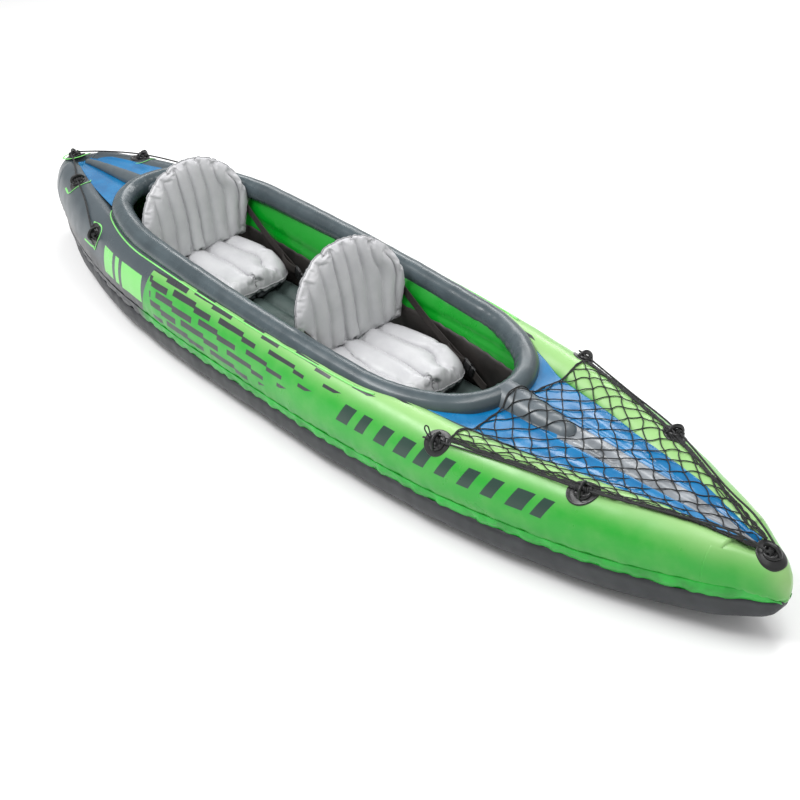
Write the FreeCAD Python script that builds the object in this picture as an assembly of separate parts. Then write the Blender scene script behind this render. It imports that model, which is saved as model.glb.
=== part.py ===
import FreeCAD, Part
import math
import os

os.makedirs("parts", exist_ok=True)

# Two-person inflatable kayak.  Millimetres, +X to the bow, +Y to port, +Z up.
# The hull rests on z = 0 and is centred on x = 0, y = 0.

V = FreeCAD.Vector

# ---- hull lines: one value per station, stern to bow ----
STATION = [-1755, -1700, -1500, -1200, -800, -300, 200, 700, 1200, 1500, 1700, 1755]
HALF_BEAM = [20, 83, 179, 276, 350, 380, 380, 352, 258, 156, 60, 22]
SHEER = [235, 298, 332, 340, 343, 343, 335, 325, 315, 300, 267, 221]
SEAM = [170, 130, 120, 112, 112, 112, 112, 112, 115, 125, 140, 150]
KEEL = [122, 50, 11, 2, 0, 0, 0, 2, 12, 40, 86, 129]
CHAMBER_FOOT = [160, 108, 84, 66, 60, 60, 60, 60, 70, 90, 124, 140]
CHAMBER_HALF = [60, 80, 86, 86, 74, 93, 93, 92, 95, 90, 60, 50]
CHAMBER_END = 1600.0         # the side chambers stop here and the end cones begin
CONE_GAP = 0.4
CENTRE_GAP = 3.0             # half the gap between the two side chambers where they meet
TIP_X = 1755.0
BOTTOM_END = [-1740, 1745]
BOTTOM_OVERLAP = 2.0         # the bottom reaches this far past the chambers' skin before it is cut back
BOTTOM_SECTION = [(1.0, 1.0), (0.995, 0.62), (0.95, 0.30), (0.82, 0.07), (0.60, 0.0), (0.3, 0.0)]
SKEG_X = -1420.0
SKEG_SIZE = [190.0, 44.0, 8.0]
SKEG_BASE = 2.0
SKEG_SLOT = [160.0, 8.0, 7.0]
SKEG_CLEAR = 0.5

# ---- cockpit ----
COAMING_RADIUS = 38.0
COAMING_BOW_X = 750.0
COAMING_STERN_X = -1120.0
COAMING_HEIGHT = 328.0       # centre height at x = 0
COAMING_PITCH = 2.0          # degrees, bow end lower
COAMING_ANGLES = [90, 147, 177, 183, 202, 270]
COAMING_NOSE = 218.0
COAMING_SHOULDER = 500.0
COAMING_QUARTER = 900.0
FLOOR_TOP = 118.0
FLOOR_BASE = 14.0
FLOOR_LOBES = 5
FLOOR_HALF = 180.0
FLOOR_OUTLINE = [(770, 96), (640, 150), (430, FLOOR_HALF), (-640, FLOOR_HALF), (-900, 140), (-1100, 74)]
FLOOR_STRAIGHT = 700.0       # the floor's sides run straight between these two distances from midships
FLOOR_CROWN = 1.25           # radius of a floor lobe over its half width
FLOOR_RUN = [-1180.0, 820.0]

# ---- decks ----
DECK_SKIN = 3.0
DECK_TUCK = 18.0             # the foredeck runs this far under the chambers' curve before it is cut back
REAR_TUCK = 14.0
STRIP_SKIN = 0.8
STRIP_GAP = 0.05
STRIP_END = 1586.0
DECK_X = [600, 700, 800, 1000, 1250, 1500, 1650]
DECK_Z = [316, 303, 290, 290, 290, 286, 262]
DECK_HALF = [232, 208, 178, 148, 100, 48, 10]
STRIP_HALF = [44, 44, 44, 42, 34, 20, 6]
STRIP_START = 1025.0
WEDGE_X = [790.0, 985.0]
WEDGE_R = [58.0, 36.0]
WEDGE_Z = 282.0
WEDGE_BASE = 294.4
BEAM_START = [-1130.0, 336.0]
BEAM_FALL = 0.075
BEAM_LENGTH = 460.0
BEAM_RADIUS = [34.0, 13.0]
BEAM_BASE_X = -1600.0        # the beam's flat underside starts here and rises going forward
BEAM_BASE_Z = 300.0
BEAM_BASE_RISE = 4.2
NET_X = [806, 1000, 1250, 1450, 1590]
NET_HALF = [250, 200, 132, 78, 34]
NET_THICK = 1.5
NET_LIFT = 7.0
NET_REACH_X = (-25, 0, 25)
NET_REACH_Y = (-24, -12, 0, 12, 24)
REAR_X = [-1610, -1500, -1300, -1150, -1000]
REAR_Z = [299, 312, 326, 334, 341]
REAR_HALF = [24, 68, 128, 164, 196]

# ---- seats ----
SEAT_FRONT_X = [435.0, -485.0]     # front edge of the front and rear cushions
CUSHION_LENGTH = 365.0
CUSHION_HALF = 168.0
CUSHION_TOP = 224.0
CUSHION_CORNER = 80.0
CUSHION_LOBES = 4
CUSHION_CORE = 0.62          # height of the cushion between its lobes over its full height
CUSHION_LOBE_WIDTH = 0.60    # half width of a lobe over the spacing of the lobes
CUSHION_GAP = 0.8
BACK_HEIGHT = 330.0
BACK_SET_BACK = [30.0, 80.0]       # seat back's foot, forward of its cushion's rear edge
BACK_HALF = 205.0
BACK_FOOT_HALF = 160.0
BACK_SPRING = 110.0                # height where the rounded top begins
BACK_THICK = 46.0
BACK_PANEL = 6.0
BACK_LOBES = 8
BACK_RECLINE = 10.0
BACK_GROOVE = [11.0, 14.0]         # half width and depth of the grooves between its lobes
PANEL_GAP = 0.4
FOOT_GAP = 1.2               # between the cushion's top and the backrest's foot
STEM_RADIUS = 6.0
STEM_BORE = 3.56
STEM_LENGTH = 14.0
CUSHION_STEM = 18.0
COAMING_STEM = 22.0
PIN_RADIUS = 3.5
TAB_RADIUS = 7.0
NECK_RADIUS = 2.5

# ---- straps and buckles ----
STRAP_WIDTH = 38.0
STRAP_THICK = 2.0
STRAP_Y = 209.0                    # at the seat back
STRAP_SLOPE = 20.0                 # degrees below level, going forward
STRAP_TOE = 7.3                    # degrees inward, going forward
STRAP_REACH = 370.0
STRAP_RISE = 81.0                  # start of the strap above the cushion's top
STRAP_BACK = 42.0                  # start of the strap behind the backrest's hinge
STRAP_TAIL = 72.0
BUCKLE_LENGTH = 30.0
BUCKLE_HALF = 22.0
BUCKLE_THICK = 11.0
BUCKLE_WALL = 3.0
BUCKLE_GAP = 0.6
CLIP_LENGTH = 16.0
PRONG = [22.0, 5.0, 5.0]
PRONG_AT = [-18.4, -2.5, 13.4]

# ---- valves ----
VALVE_BORE = 9.0
VALVE_FLANGE = 27.0
VALVE_NECK = 17.0
VALVE_BODY = 15.0
VALVE_DEPTH = 18.0
VALVE_RIM = 12.0
VALVE_GAP = 0.3
CAP_RADIUS = 19.0
CAP_SKIN = 3.0
CAP_Z = 12.5
EAR_AT = [-7.6, 5.2]
EAR_SIZE = [2.4, 5.4, 14.5]
EAR_Y = 19.6
HINGE_Y = 22.0
HINGE_Z = 14.0
HINGE_PIN = 1.5
HINGE_EYE = 3.0
VALVE_X = -930.0
FLOOR_VALVE_X = -1000.0

# ---- fittings and cords ----
FITTING_RADIUS = 41.0
FITTING_SKIN = 2.5
FITTING_DOME = [26.0, 18.0, 4.0]
BRIDGE_LONG = 16.0
BRIDGE_HALF = 17.0
BRIDGE_TOP = 21.5
EYE_RADIUS = 6.0
SINK = 2.0                   # the patches bed this far into the skin
CORD_RADIUS = 3.0
CORD_LIFT = 13.0
CORD_TAIL = 24.0             # the cord's free end, past the first eye
TIP_HALF = 14.0              # half the width of the cord's loop over the tip
CORNER_SWEEPS = 20
BOW_FITTINGS = [(785.0, 300.0), (1225.0, 186.0)]
STERN_FITTINGS = [(-1050.0, 292.0), (-1400.0, 146.0)]
BOW_TIP_X = 1690.0
STERN_TIP_X = -1680.0


def smooth(x, xs, ys):
    """Shape-keeping curve through a short list of stations."""
    n = len(xs)
    h = [xs[i + 1] - xs[i] for i in range(n - 1)]
    d = [(ys[i + 1] - ys[i]) / h[i] for i in range(n - 1)]
    m = [d[0]] + [0.0] * (n - 2) + [d[-1]]
    for i in range(1, n - 1):
        if d[i - 1] * d[i] > 0:
            w1 = 2 * h[i] + h[i - 1]
            w2 = h[i] + 2 * h[i - 1]
            m[i] = (w1 + w2) / (w1 / d[i - 1] + w2 / d[i])
    x = min(max(x, xs[0]), xs[-1])
    i = 0
    while i < n - 2 and x > xs[i + 1]:
        i += 1
    t = (x - xs[i]) / h[i]
    a = ys[i] * (1 + 2 * t) * (1 - t) ** 2 + m[i] * h[i] * t * (1 - t) ** 2
    return a + ys[i + 1] * t * t * (3 - 2 * t) + m[i + 1] * h[i] * t * t * (t - 1)


def hull(x):
    """Half beam, sheer, seam, keel and chamber foot at a station."""
    return [smooth(x, STATION, c) for c in (HALF_BEAM, SHEER, SEAM, KEEL, CHAMBER_FOOT)]


def chamber(x):
    """Centre y, centre z, half width and half height of a side chamber."""
    beam, sheer, seam, keel, foot = hull(x)
    ry = min(smooth(x, STATION, CHAMBER_HALF), beam / 2 - CENTRE_GAP)
    return beam - ry, (sheer + foot) / 2, ry, (sheer - foot) / 2


def chamber_top(x, y):
    """Height of the side chamber's upper skin at (x, y)."""
    yc, zc, ry, rz = chamber(x)
    t = (abs(y) - yc) / ry
    if abs(t) >= 1:
        return zc
    return zc + rz * math.sqrt(1 - t * t)


def closed_curve(points):
    curve = Part.BSplineCurve()
    curve.interpolate(Points=points, PeriodicFlag=True)
    return Part.Wire([curve.toShape()])


def open_curve(points):
    curve = Part.BSplineCurve()
    curve.interpolate(Points=points)
    return curve.toShape()


def oval(x, yc, zc, ry, rz, count=16):
    pts = []
    for k in range(count):
        a = 2 * math.pi * k / count
        pts.append(V(x, yc + ry * math.cos(a), zc + rz * math.sin(a)))
    return closed_curve(pts)


def solid_of(shape):
    """The one solid of a boolean result; the largest if a sliver came off."""
    solids = sorted(shape.Solids, key=lambda s: s.Volume)
    return solids[-1]


def save(name, shape):
    shape = solid_of(shape)
    if not shape.isValid():
        shape.fix(1e-4, 1e-4, 1e-3)
    print(name, round(shape.Volume), shape.isValid(), len(shape.Faces))
    shape.exportStep("parts/%s.step" % name)
    return shape


def spread(x0, x1, n):
    return [x0 + (x1 - x0) * k / (n - 1) for k in range(n)]


# ---- coaming ring: tangent arcs in one tilted plane ----
def coaming(radius):
    ang = [math.radians(a) for a in COAMING_ANGLES]
    turn = []
    for a0, a1 in zip(ang[:-1], ang[1:]):
        turn.append((math.sin(a1) - math.sin(a0), math.cos(a0) - math.cos(a1)))
    known = {0: COAMING_NOSE, 1: COAMING_SHOULDER, 3: COAMING_QUARTER}
    rx = COAMING_STERN_X - COAMING_BOW_X - sum(turn[i][0] * r for i, r in known.items())
    ry = -sum(turn[i][1] * r for i, r in known.items())
    det = turn[2][0] * turn[4][1] - turn[4][0] * turn[2][1]
    known[2] = (rx * turn[4][1] - turn[4][0] * ry) / det
    known[4] = (turn[2][0] * ry - rx * turn[2][1]) / det
    x = COAMING_BOW_X
    y = 0.0
    ring = None
    for i in range(5):
        r = known[i]
        centre = V(x - r * math.sin(ang[i]), y + r * math.cos(ang[i]), 0)
        tangent = V(math.cos(ang[i]), math.sin(ang[i]), 0)
        circle = Part.Circle(V(x, y, 0), tangent, radius)
        face = Part.Face(Part.Wire([circle.toShape()]))
        piece = face.revolve(centre, V(0, 0, 1), COAMING_ANGLES[i + 1] - COAMING_ANGLES[i])
        for part in (piece, piece.mirror(V(0, 0, 0), V(0, 1, 0))):
            ring = part if ring is None else ring.fuse(part)
        x += r * turn[i][0]
        y += r * turn[i][1]
    ring = ring.removeSplitter()
    ring.rotate(V(0, 0, 0), V(0, 1, 0), COAMING_PITCH)
    ring.translate(V(0, 0, COAMING_HEIGHT))
    return ring


ring = coaming(COAMING_RADIUS)
ring_room = coaming(COAMING_RADIUS + 0.4)

# ---- side chambers and end cones ----
stations = spread(-CHAMBER_END, CHAMBER_END, 27)
sections = []
for x in stations:
    yc, zc, ry, rz = chamber(x)
    sections.append(oval(x, yc, zc, ry, rz))
tube = Part.makeLoft(sections, True, False)
port_tube = solid_of(tube.cut(ring_room))
starboard_tube = port_tube.mirror(V(0, 0, 0), V(0, 1, 0))


def cone(x_in, x_out):
    wires = []
    for x in spread(x_in, x_out, 6):
        beam, sheer, seam, keel, foot = hull(x)
        wires.append(oval(x, 0, (sheer + foot) / 2, beam, (sheer - foot) / 2))
    return Part.makeLoft(wires, True, False)


bow_cone = cone(CHAMBER_END + CONE_GAP, TIP_X)
stern_cone = cone(-TIP_X, -CHAMBER_END - CONE_GAP)


# ---- bottom shell ----
def bottom_wire(x):
    beam, sheer, seam, keel, foot = hull(x)
    yc, zc, ry, rz = chamber(x)
    if abs(x) > CHAMBER_END:
        yc, ry = 0, beam
    t = max(-1.0, min(1.0, (seam - zc) / rz))
    edge = yc + ry * math.sqrt(1 - t * t) + BOTTOM_OVERLAP
    rise = seam - keel
    pts = [V(x, edge * a, keel + rise * b) for a, b in BOTTOM_SECTION]
    pts += [V(x, 0, keel)]
    pts += [V(x, -edge * a, keel + rise * b) for a, b in reversed(BOTTOM_SECTION)]
    low = open_curve(pts)
    return Part.Wire([low, Part.makeLine(pts[-1], pts[0])])


bottom = Part.makeLoft([bottom_wire(x) for x in spread(BOTTOM_END[0], BOTTOM_END[1], 27)], True, False)


def pocket(grow, base, top):
    """Cockpit floor outline as a prism; grow moves its wall outward."""
    pts = []
    for x, y in FLOOR_OUTLINE:
        end = math.copysign(grow, x) if abs(x) > FLOOR_STRAIGHT else 0.0
        pts.append(V(x + end, y + grow, base))
    pts += [V(p.x, -p.y, base) for p in reversed(pts)]
    pts.append(pts[0])
    return Part.Face(Part.makePolygon(pts)).extrude(V(0, 0, top - base))


def centred_box(x, size, z, grow=0.0):
    """Box starting at x and z, centred on y = 0, grown on its two ends and sides."""
    return Part.makeBox(size[0] + 2 * grow, size[1] + 2 * grow, size[2], V(x - grow, -size[1] / 2 - grow, z))


skeg = centred_box(SKEG_X, SKEG_SIZE, SKEG_BASE)
skeg = skeg.cut(centred_box(SKEG_X + (SKEG_SIZE[0] - SKEG_SLOT[0]) / 2, SKEG_SLOT, 0))
bottom = bottom.cut(pocket(1.0, FLOOR_BASE - 2, 400))
bottom = bottom.cut(port_tube)
bottom = bottom.cut(starboard_tube)
bottom = bottom.cut(bow_cone)
bottom = bottom.cut(stern_cone)
bottom = bottom.cut(centred_box(SKEG_X, [SKEG_SIZE[0], SKEG_SIZE[1], 20], -8, SKEG_CLEAR))
bottom = bottom.cut(centred_box(-1800, [3600, 900, 20], -20))

# ---- floor chamber: five lengthwise lobes ----
lobe_half = FLOOR_HALF / FLOOR_LOBES
crown_radius = lobe_half * FLOOR_CROWN
foot_top = FLOOR_TOP - crown_radius
floor_from = FLOOR_RUN[0]
floor_long = FLOOR_RUN[1] - floor_from
floor = None
for k in range(FLOOR_LOBES):
    y = -FLOOR_HALF + lobe_half * (2 * k + 1)
    crown = Part.makeCylinder(crown_radius, floor_long, V(floor_from, y, foot_top), V(1, 0, 0))
    slab = Part.makeBox(floor_long, 2 * lobe_half, 2 * FLOOR_TOP, V(floor_from, y - lobe_half, 0))
    lobe = crown.common(slab)
    foot = Part.makeBox(floor_long, 2 * lobe_half, foot_top, V(floor_from, y - lobe_half, 0))
    lobe = lobe.fuse(foot)
    floor = lobe if floor is None else floor.fuse(lobe)
floor = floor.removeSplitter().common(pocket(0.0, FLOOR_BASE, 300))
floor = floor.cut(port_tube)
floor = floor.cut(starboard_tube)


# ---- decks ----
def skin(xs, zs, halves, inner, thick, lift, count):
    """Thin deck skin; each station is a flat strip from -half to half."""
    wires = []
    for x in spread(xs[0], xs[-1], count):
        z = smooth(x, xs, zs) + lift
        w = smooth(x, xs, halves) + inner
        pts = [V(x, -w, z), V(x, w, z), V(x, w, z + thick), V(x, -w, z + thick)]
        wires.append(Part.makePolygon(pts + [pts[0]]))
    return Part.makeLoft(wires, True, False)


foredeck = skin(DECK_X, DECK_Z, DECK_HALF, DECK_TUCK, DECK_SKIN, 0, 12)
foredeck = foredeck.cut(port_tube).cut(starboard_tube).cut(ring_room)
foredeck = solid_of(foredeck.cut(bow_cone))
strip = skin(DECK_X, DECK_Z, STRIP_HALF, 0, STRIP_SKIN, DECK_SKIN + STRIP_GAP, 12)
reardeck = skin(REAR_X, REAR_Z, REAR_HALF, REAR_TUCK, DECK_SKIN, 0, 8)
reardeck = reardeck.cut(port_tube).cut(starboard_tube).cut(ring_room)
reardeck = solid_of(reardeck.cut(stern_cone))

wedge = Part.makeCone(WEDGE_R[0], WEDGE_R[1], WEDGE_X[1] - WEDGE_X[0], V(WEDGE_X[0], 0, WEDGE_Z), V(1, 0, 0))
wedge = wedge.fuse(Part.makeSphere(WEDGE_R[1], V(WEDGE_X[1], 0, WEDGE_Z)))
wedge = wedge.cut(ring_room)
wedge = solid_of(wedge.common(centred_box(COAMING_BOW_X, [400, 200, 200], WEDGE_BASE)))
strip = strip.common(centred_box(STRIP_START, [STRIP_END - STRIP_START, 200, 200], 200))

beam = Part.makeCone(BEAM_RADIUS[0], BEAM_RADIUS[1], BEAM_LENGTH, V(BEAM_START[0], 0, BEAM_START[1]),
                     V(-1, 0, -BEAM_FALL))
beam = beam.cut(ring_room)
beam = beam.cut(reardeck)
beam = beam.cut(stern_cone)
keep = centred_box(BEAM_BASE_X - 100, [700, 200, 200], BEAM_BASE_Z)
keep.rotate(V(BEAM_BASE_X, 0, BEAM_BASE_Z), V(0, 1, 0), -BEAM_BASE_RISE)
beam = solid_of(beam.common(keep))


# ---- seats ----
def lobes_x(x0, x1, half, base, top, count):
    """Cushion body: lengthwise lobes between two heights."""
    width = 2 * half / count
    mid = (base + top) / 2
    core = (top - base) * CUSHION_CORE
    body = Part.makeBox(x1 - x0, 2 * half, core, V(x0, -half, mid - core / 2))
    for k in range(count):
        y = -half + width * (k + 0.5)
        wire = oval(x0, y, mid, width * CUSHION_LOBE_WIDTH, (top - base) / 2)
        lobe = Part.Face(wire).extrude(V(x1 - x0, 0, 0))
        body = body.fuse(lobe)
    return body.removeSplitter()


def rounded_plate(x0, x1, half, r, z0, z1):
    c = [(x1 - r, half - r), (x0 + r, half - r), (x0 + r, -half + r), (x1 - r, -half + r)]
    shape = Part.makeBox(x1 - x0 - 2 * r, 2 * half, z1 - z0, V(x0 + r, -half, z0))
    shape = shape.fuse(Part.makeBox(x1 - x0, 2 * half - 2 * r, z1 - z0, V(x0, -half + r, z0)))
    for x, y in c:
        shape = shape.fuse(Part.makeCylinder(r, z1 - z0, V(x, y, z0)))
    return shape.removeSplitter()


def stem(at, axis, length):
    """Short valve stem with a blind bore; returns the tube and its bore."""
    body = Part.makeCylinder(STEM_RADIUS, length, at, axis)
    hole = Part.makeCylinder(STEM_BORE, length + 1, at + axis * 2, axis)
    return body, hole


def plug(at, axis, length):
    """Stopper: a 7 mm pin inside the stem and a pull tab outside it."""
    pin = Part.makeCylinder(PIN_RADIUS, length - 3.4, at + axis * 3, axis)
    head = Part.makeCylinder(TAB_RADIUS, 2.6, at + axis * (length + 0.4), axis)
    neck = Part.makeCylinder(NECK_RADIUS, 2.0, at + axis * (length - 0.8), axis)
    return pin.fuse(neck).fuse(head).removeSplitter()


shapes = {}
for name, front, set_back in (("front", SEAT_FRONT_X[0], BACK_SET_BACK[0]),
                              ("rear", SEAT_FRONT_X[1], BACK_SET_BACK[1])):
    x0 = front - CUSHION_LENGTH
    base = FLOOR_TOP + CUSHION_GAP
    body = lobes_x(x0, front, CUSHION_HALF, base, CUSHION_TOP, CUSHION_LOBES)
    plate = rounded_plate(x0, front, CUSHION_HALF, CUSHION_CORNER, base - 5, CUSHION_TOP + 5)
    cushion = body.common(plate)
    at = V(x0 + 4, 0, (base + CUSHION_TOP) / 2)
    tube_part, hole = stem(at, V(-1, 0, 0), CUSHION_STEM)
    cushion = cushion.fuse(tube_part).cut(hole).removeSplitter()
    shapes[name + "_seat_cushion"] = cushion
    shapes[name + "_cushion_stopper"] = plug(at, V(-1, 0, 0), CUSHION_STEM)

    # backrest, built upright with its front face on x = 0 and its foot on z = 0
    half = BACK_HALF
    rise = BACK_HEIGHT - BACK_SPRING
    arc_pts = []
    for k in range(13):
        a = math.pi * k / 12
        arc_pts.append(V(0, half * math.cos(a), BACK_SPRING + rise * math.sin(a)))
    edge = open_curve(arc_pts)
    lines = [Part.makeLine(V(0, -BACK_FOOT_HALF, FOOT_GAP), V(0, BACK_FOOT_HALF, FOOT_GAP))]
    lines.append(Part.makeLine(V(0, BACK_FOOT_HALF, FOOT_GAP), arc_pts[0]))
    lines.append(edge)
    lines.append(Part.makeLine(arc_pts[-1], V(0, -BACK_FOOT_HALF, FOOT_GAP)))
    face = Part.Face(Part.Wire(Part.__sortEdges__(lines)))
    plate = face.extrude(V(-BACK_THICK, 0, 0))
    width = 2 * half / BACK_LOBES
    deep = BACK_THICK - BACK_PANEL - PANEL_GAP
    pad = face.extrude(V(-deep, 0, 0))
    for k in range(1, BACK_LOBES):
        y = -half + width * k
        wide, cut = BACK_GROOVE
        groove = [V(1, y - wide, -5), V(1, y + wide, -5), V(-cut, y, -5), V(1, y - wide, -5)]
        pad = pad.cut(Part.Face(Part.makePolygon(groove)).extrude(V(0, 0, BACK_HEIGHT + 20)))
    panel = plate.common(Part.makeBox(BACK_PANEL, 2 * half + 40, BACK_HEIGHT + 40,
                                      V(-BACK_THICK, -half - 20, 0)))
    at = V(-BACK_THICK + 1, 60, 70)
    tube_part, hole = stem(at, V(-1, 0, 0), STEM_LENGTH)
    panel = panel.fuse(tube_part).cut(hole).removeSplitter()
    stopper = plug(at, V(-1, 0, 0), STEM_LENGTH)
    hinge = V(x0 + set_back, 0, CUSHION_TOP + CUSHION_GAP)
    for key, shape in (("backrest_pad", pad), ("back_panel", panel), ("backrest_stopper", stopper)):
        shape.rotate(V(0, 0, 0), V(0, 1, 0), -BACK_RECLINE)
        if key != "backrest_stopper":
            shape = shape.cut(Part.makeBox(200, 600, 40, V(-150, -300, FOOT_GAP - 40)))
        shape.translate(hinge)
        shapes["%s_%s" % (name, key)] = shape
    print(name, "hinge", hinge)

    # straps: built along +X from the backrest, then sloped down
    reach = STRAP_REACH
    for side, sy in (("starboard", -1), ("port", 1)):
        start = V(hinge.x - STRAP_BACK, sy * STRAP_Y, CUSHION_TOP + STRAP_RISE)
        half_w = STRAP_WIDTH / 2
        upper = Part.makeBox(reach - 1, STRAP_THICK, STRAP_WIDTH, V(0, -STRAP_THICK / 2, -half_w))
        fem = Part.makeBox(BUCKLE_LENGTH, BUCKLE_THICK, 2 * BUCKLE_HALF,
                           V(reach, -BUCKLE_THICK / 2, -BUCKLE_HALF))
        room = Part.makeBox(BUCKLE_LENGTH, BUCKLE_THICK - 5, 2 * (BUCKLE_HALF - BUCKLE_WALL),
                            V(reach + 2 * BUCKLE_WALL, 2.5 - BUCKLE_THICK / 2, BUCKLE_WALL - BUCKLE_HALF))
        fem = fem.cut(room)
        clip_at = reach + BUCKLE_LENGTH + BUCKLE_GAP
        male = Part.makeBox(CLIP_LENGTH, BUCKLE_THICK, 2 * BUCKLE_HALF,
                            V(clip_at, -BUCKLE_THICK / 2, -BUCKLE_HALF))
        for off in PRONG_AT:
            male = male.fuse(Part.makeBox(PRONG[0], PRONG[1], PRONG[2],
                                          V(clip_at + 1.4 - PRONG[0], -PRONG[1] / 2, off)))
        male = male.removeSplitter()
        low_at = clip_at + CLIP_LENGTH + BUCKLE_GAP
        lower = Part.makeBox(STRAP_TAIL, STRAP_THICK, STRAP_WIDTH, V(low_at, -STRAP_THICK / 2, -half_w))
        for key, shape in (("upper_webbing", upper), ("buckle_socket", fem),
                           ("buckle_clip", male), ("lower_webbing", lower)):
            shape.rotate(V(0, 0, 0), V(0, 1, 0), STRAP_SLOPE)
            shape.rotate(V(0, 0, 0), V(0, 0, 1), -sy * STRAP_TOE)
            shape.translate(start)
            shapes["%s_%s_%s" % (name, side, key)] = shape


# ---- inflation valves ----
def valve(at, rot):
    """Base with a bore and hinge ears, and a cap on a pin; local axis is +Z."""
    base = Part.makeCylinder(VALVE_FLANGE, CAP_SKIN, V(0, 0, 0))
    base = base.fuse(Part.makeCylinder(VALVE_NECK, VALVE_RIM, V(0, 0, 0)))
    base = base.fuse(Part.makeCylinder(VALVE_BODY, VALVE_DEPTH + 2, V(0, 0, -VALVE_DEPTH)))
    base = base.cut(Part.makeCylinder(VALVE_BORE, 60, V(0, 0, -30)))
    for x in EAR_AT:
        base = base.fuse(Part.makeBox(EAR_SIZE[0], EAR_SIZE[1], EAR_SIZE[2], V(x, EAR_Y, 2)))
    pin_at = V(EAR_AT[0], HINGE_Y, HINGE_Z)
    base = base.fuse(Part.makeCylinder(HINGE_PIN, EAR_AT[1] - EAR_AT[0] + EAR_SIZE[0], pin_at, V(1, 0, 0)))
    cap = Part.makeCylinder(CAP_RADIUS, CAP_SKIN, V(0, 0, CAP_Z))
    arm = Part.makeBox(9.6, 9.0, CAP_SKIN, V(-4.8, HINGE_Y - 8, CAP_Z))
    cap = cap.fuse(arm).fuse(Part.makeCylinder(HINGE_EYE, 9.6, V(-4.8, HINGE_Y, HINGE_Z), V(1, 0, 0)))
    cap = cap.cut(Part.makeCylinder(HINGE_PIN + 0.05, 20, V(-10, HINGE_Y, HINGE_Z), V(1, 0, 0)))
    out = []
    for shape in (base.removeSplitter(), cap.removeSplitter()):
        shape.Placement = FreeCAD.Placement(at, rot).multiply(shape.Placement)
        out.append(shape)
    return out


yc, zc, ry, rz = chamber(VALVE_X)
inner = yc - ry
valve_sites = {
    "starboard": (V(VALVE_X, -inner + 0.8, zc), FreeCAD.Rotation(V(1, 0, 0), -90)),
    "port": (V(VALVE_X, inner - 0.8, zc), FreeCAD.Rotation(V(1, 0, 0), 90)),
    "floor": (V(FLOOR_VALVE_X, 0, FLOOR_TOP + 2 * VALVE_GAP), FreeCAD.Rotation(V(0, 0, 1), 90)),
}
for side, (at, rot) in valve_sites.items():
    base, cap = valve(at, rot)
    shapes[side + "_valve_base"] = base
    shapes[side + "_valve_cap"] = cap
    room = Part.makeCylinder(VALVE_BODY + VALVE_GAP, 21, V(0, 0, -VALVE_DEPTH - 0.5))
    room = room.fuse(Part.makeCylinder(VALVE_FLANGE + VALVE_GAP, CAP_SKIN + 0.4, V(0, 0, -0.2)))
    room.Placement = FreeCAD.Placement(at, rot).multiply(room.Placement)
    if side == "port":
        port_tube = solid_of(port_tube.cut(room))
    elif side == "starboard":
        starboard_tube = solid_of(starboard_tube.cut(room))
    else:
        floor = solid_of(floor.cut(room))

# coaming valve on the inner face of the stern end
tilt = math.radians(COAMING_PITCH)
x = COAMING_STERN_X
at = V(x * math.cos(tilt) + 30, 0, COAMING_HEIGHT - x * math.sin(tilt))
tube_part, hole = stem(at, V(1, 0, 0), COAMING_STEM)
ring = ring.fuse(tube_part).cut(hole).removeSplitter()
shapes["coaming_stopper"] = plug(at, V(1, 0, 0), COAMING_STEM)


# ---- lashing fittings and cords ----
def fitting():
    """Round patch with a moulded bridge; a 12 mm eye runs along local X."""
    disc = Part.makeCylinder(FITTING_RADIUS, FITTING_SKIN)
    dome = Part.makeCone(FITTING_DOME[0], FITTING_DOME[1], FITTING_DOME[2], V(0, 0, FITTING_SKIN))
    body = disc.fuse(dome)
    bridge = centred_box(-BRIDGE_LONG / 2, [BRIDGE_LONG, 2 * BRIDGE_HALF, 16], 5)
    bridge = bridge.fuse(Part.makeCylinder(BRIDGE_HALF, BRIDGE_LONG, V(-BRIDGE_LONG / 2, 0, 6), V(1, 0, 0)))
    bridge = bridge.common(centred_box(-10, [20, 40, BRIDGE_TOP - 4], 4))
    eye = Part.makeCylinder(EYE_RADIUS, 30, V(-15, 0, CORD_LIFT), V(1, 0, 0))
    return body.fuse(bridge).cut(eye).removeSplitter()


def frame_at(at, normal, along):
    z = V(normal)
    z.normalize()
    y = z.cross(along)
    y.normalize()
    x = y.cross(z)
    m = FreeCAD.Matrix(x.x, y.x, z.x, at.x, x.y, y.y, z.y, at.y, x.z, y.z, z.z, at.z, 0, 0, 0, 1)
    return FreeCAD.Placement(m)


def site(x, y):
    """Point and normal on the chamber's upper skin."""
    yc, zc, ry, rz = chamber(x)
    z = chamber_top(x, y)
    n = V(0, (abs(y) - yc) / ry ** 2 * (1 if y > 0 else -1), (z - zc) / rz ** 2)
    n.normalize()
    return V(x, y, z), n


eyes = {}


def place_fitting(key, at, normal, along):
    body = fitting()
    body.Placement = frame_at(at - normal * SINK, normal, along)
    shapes[key] = body
    eyes[key] = at + normal * (CORD_LIFT - SINK)


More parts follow.
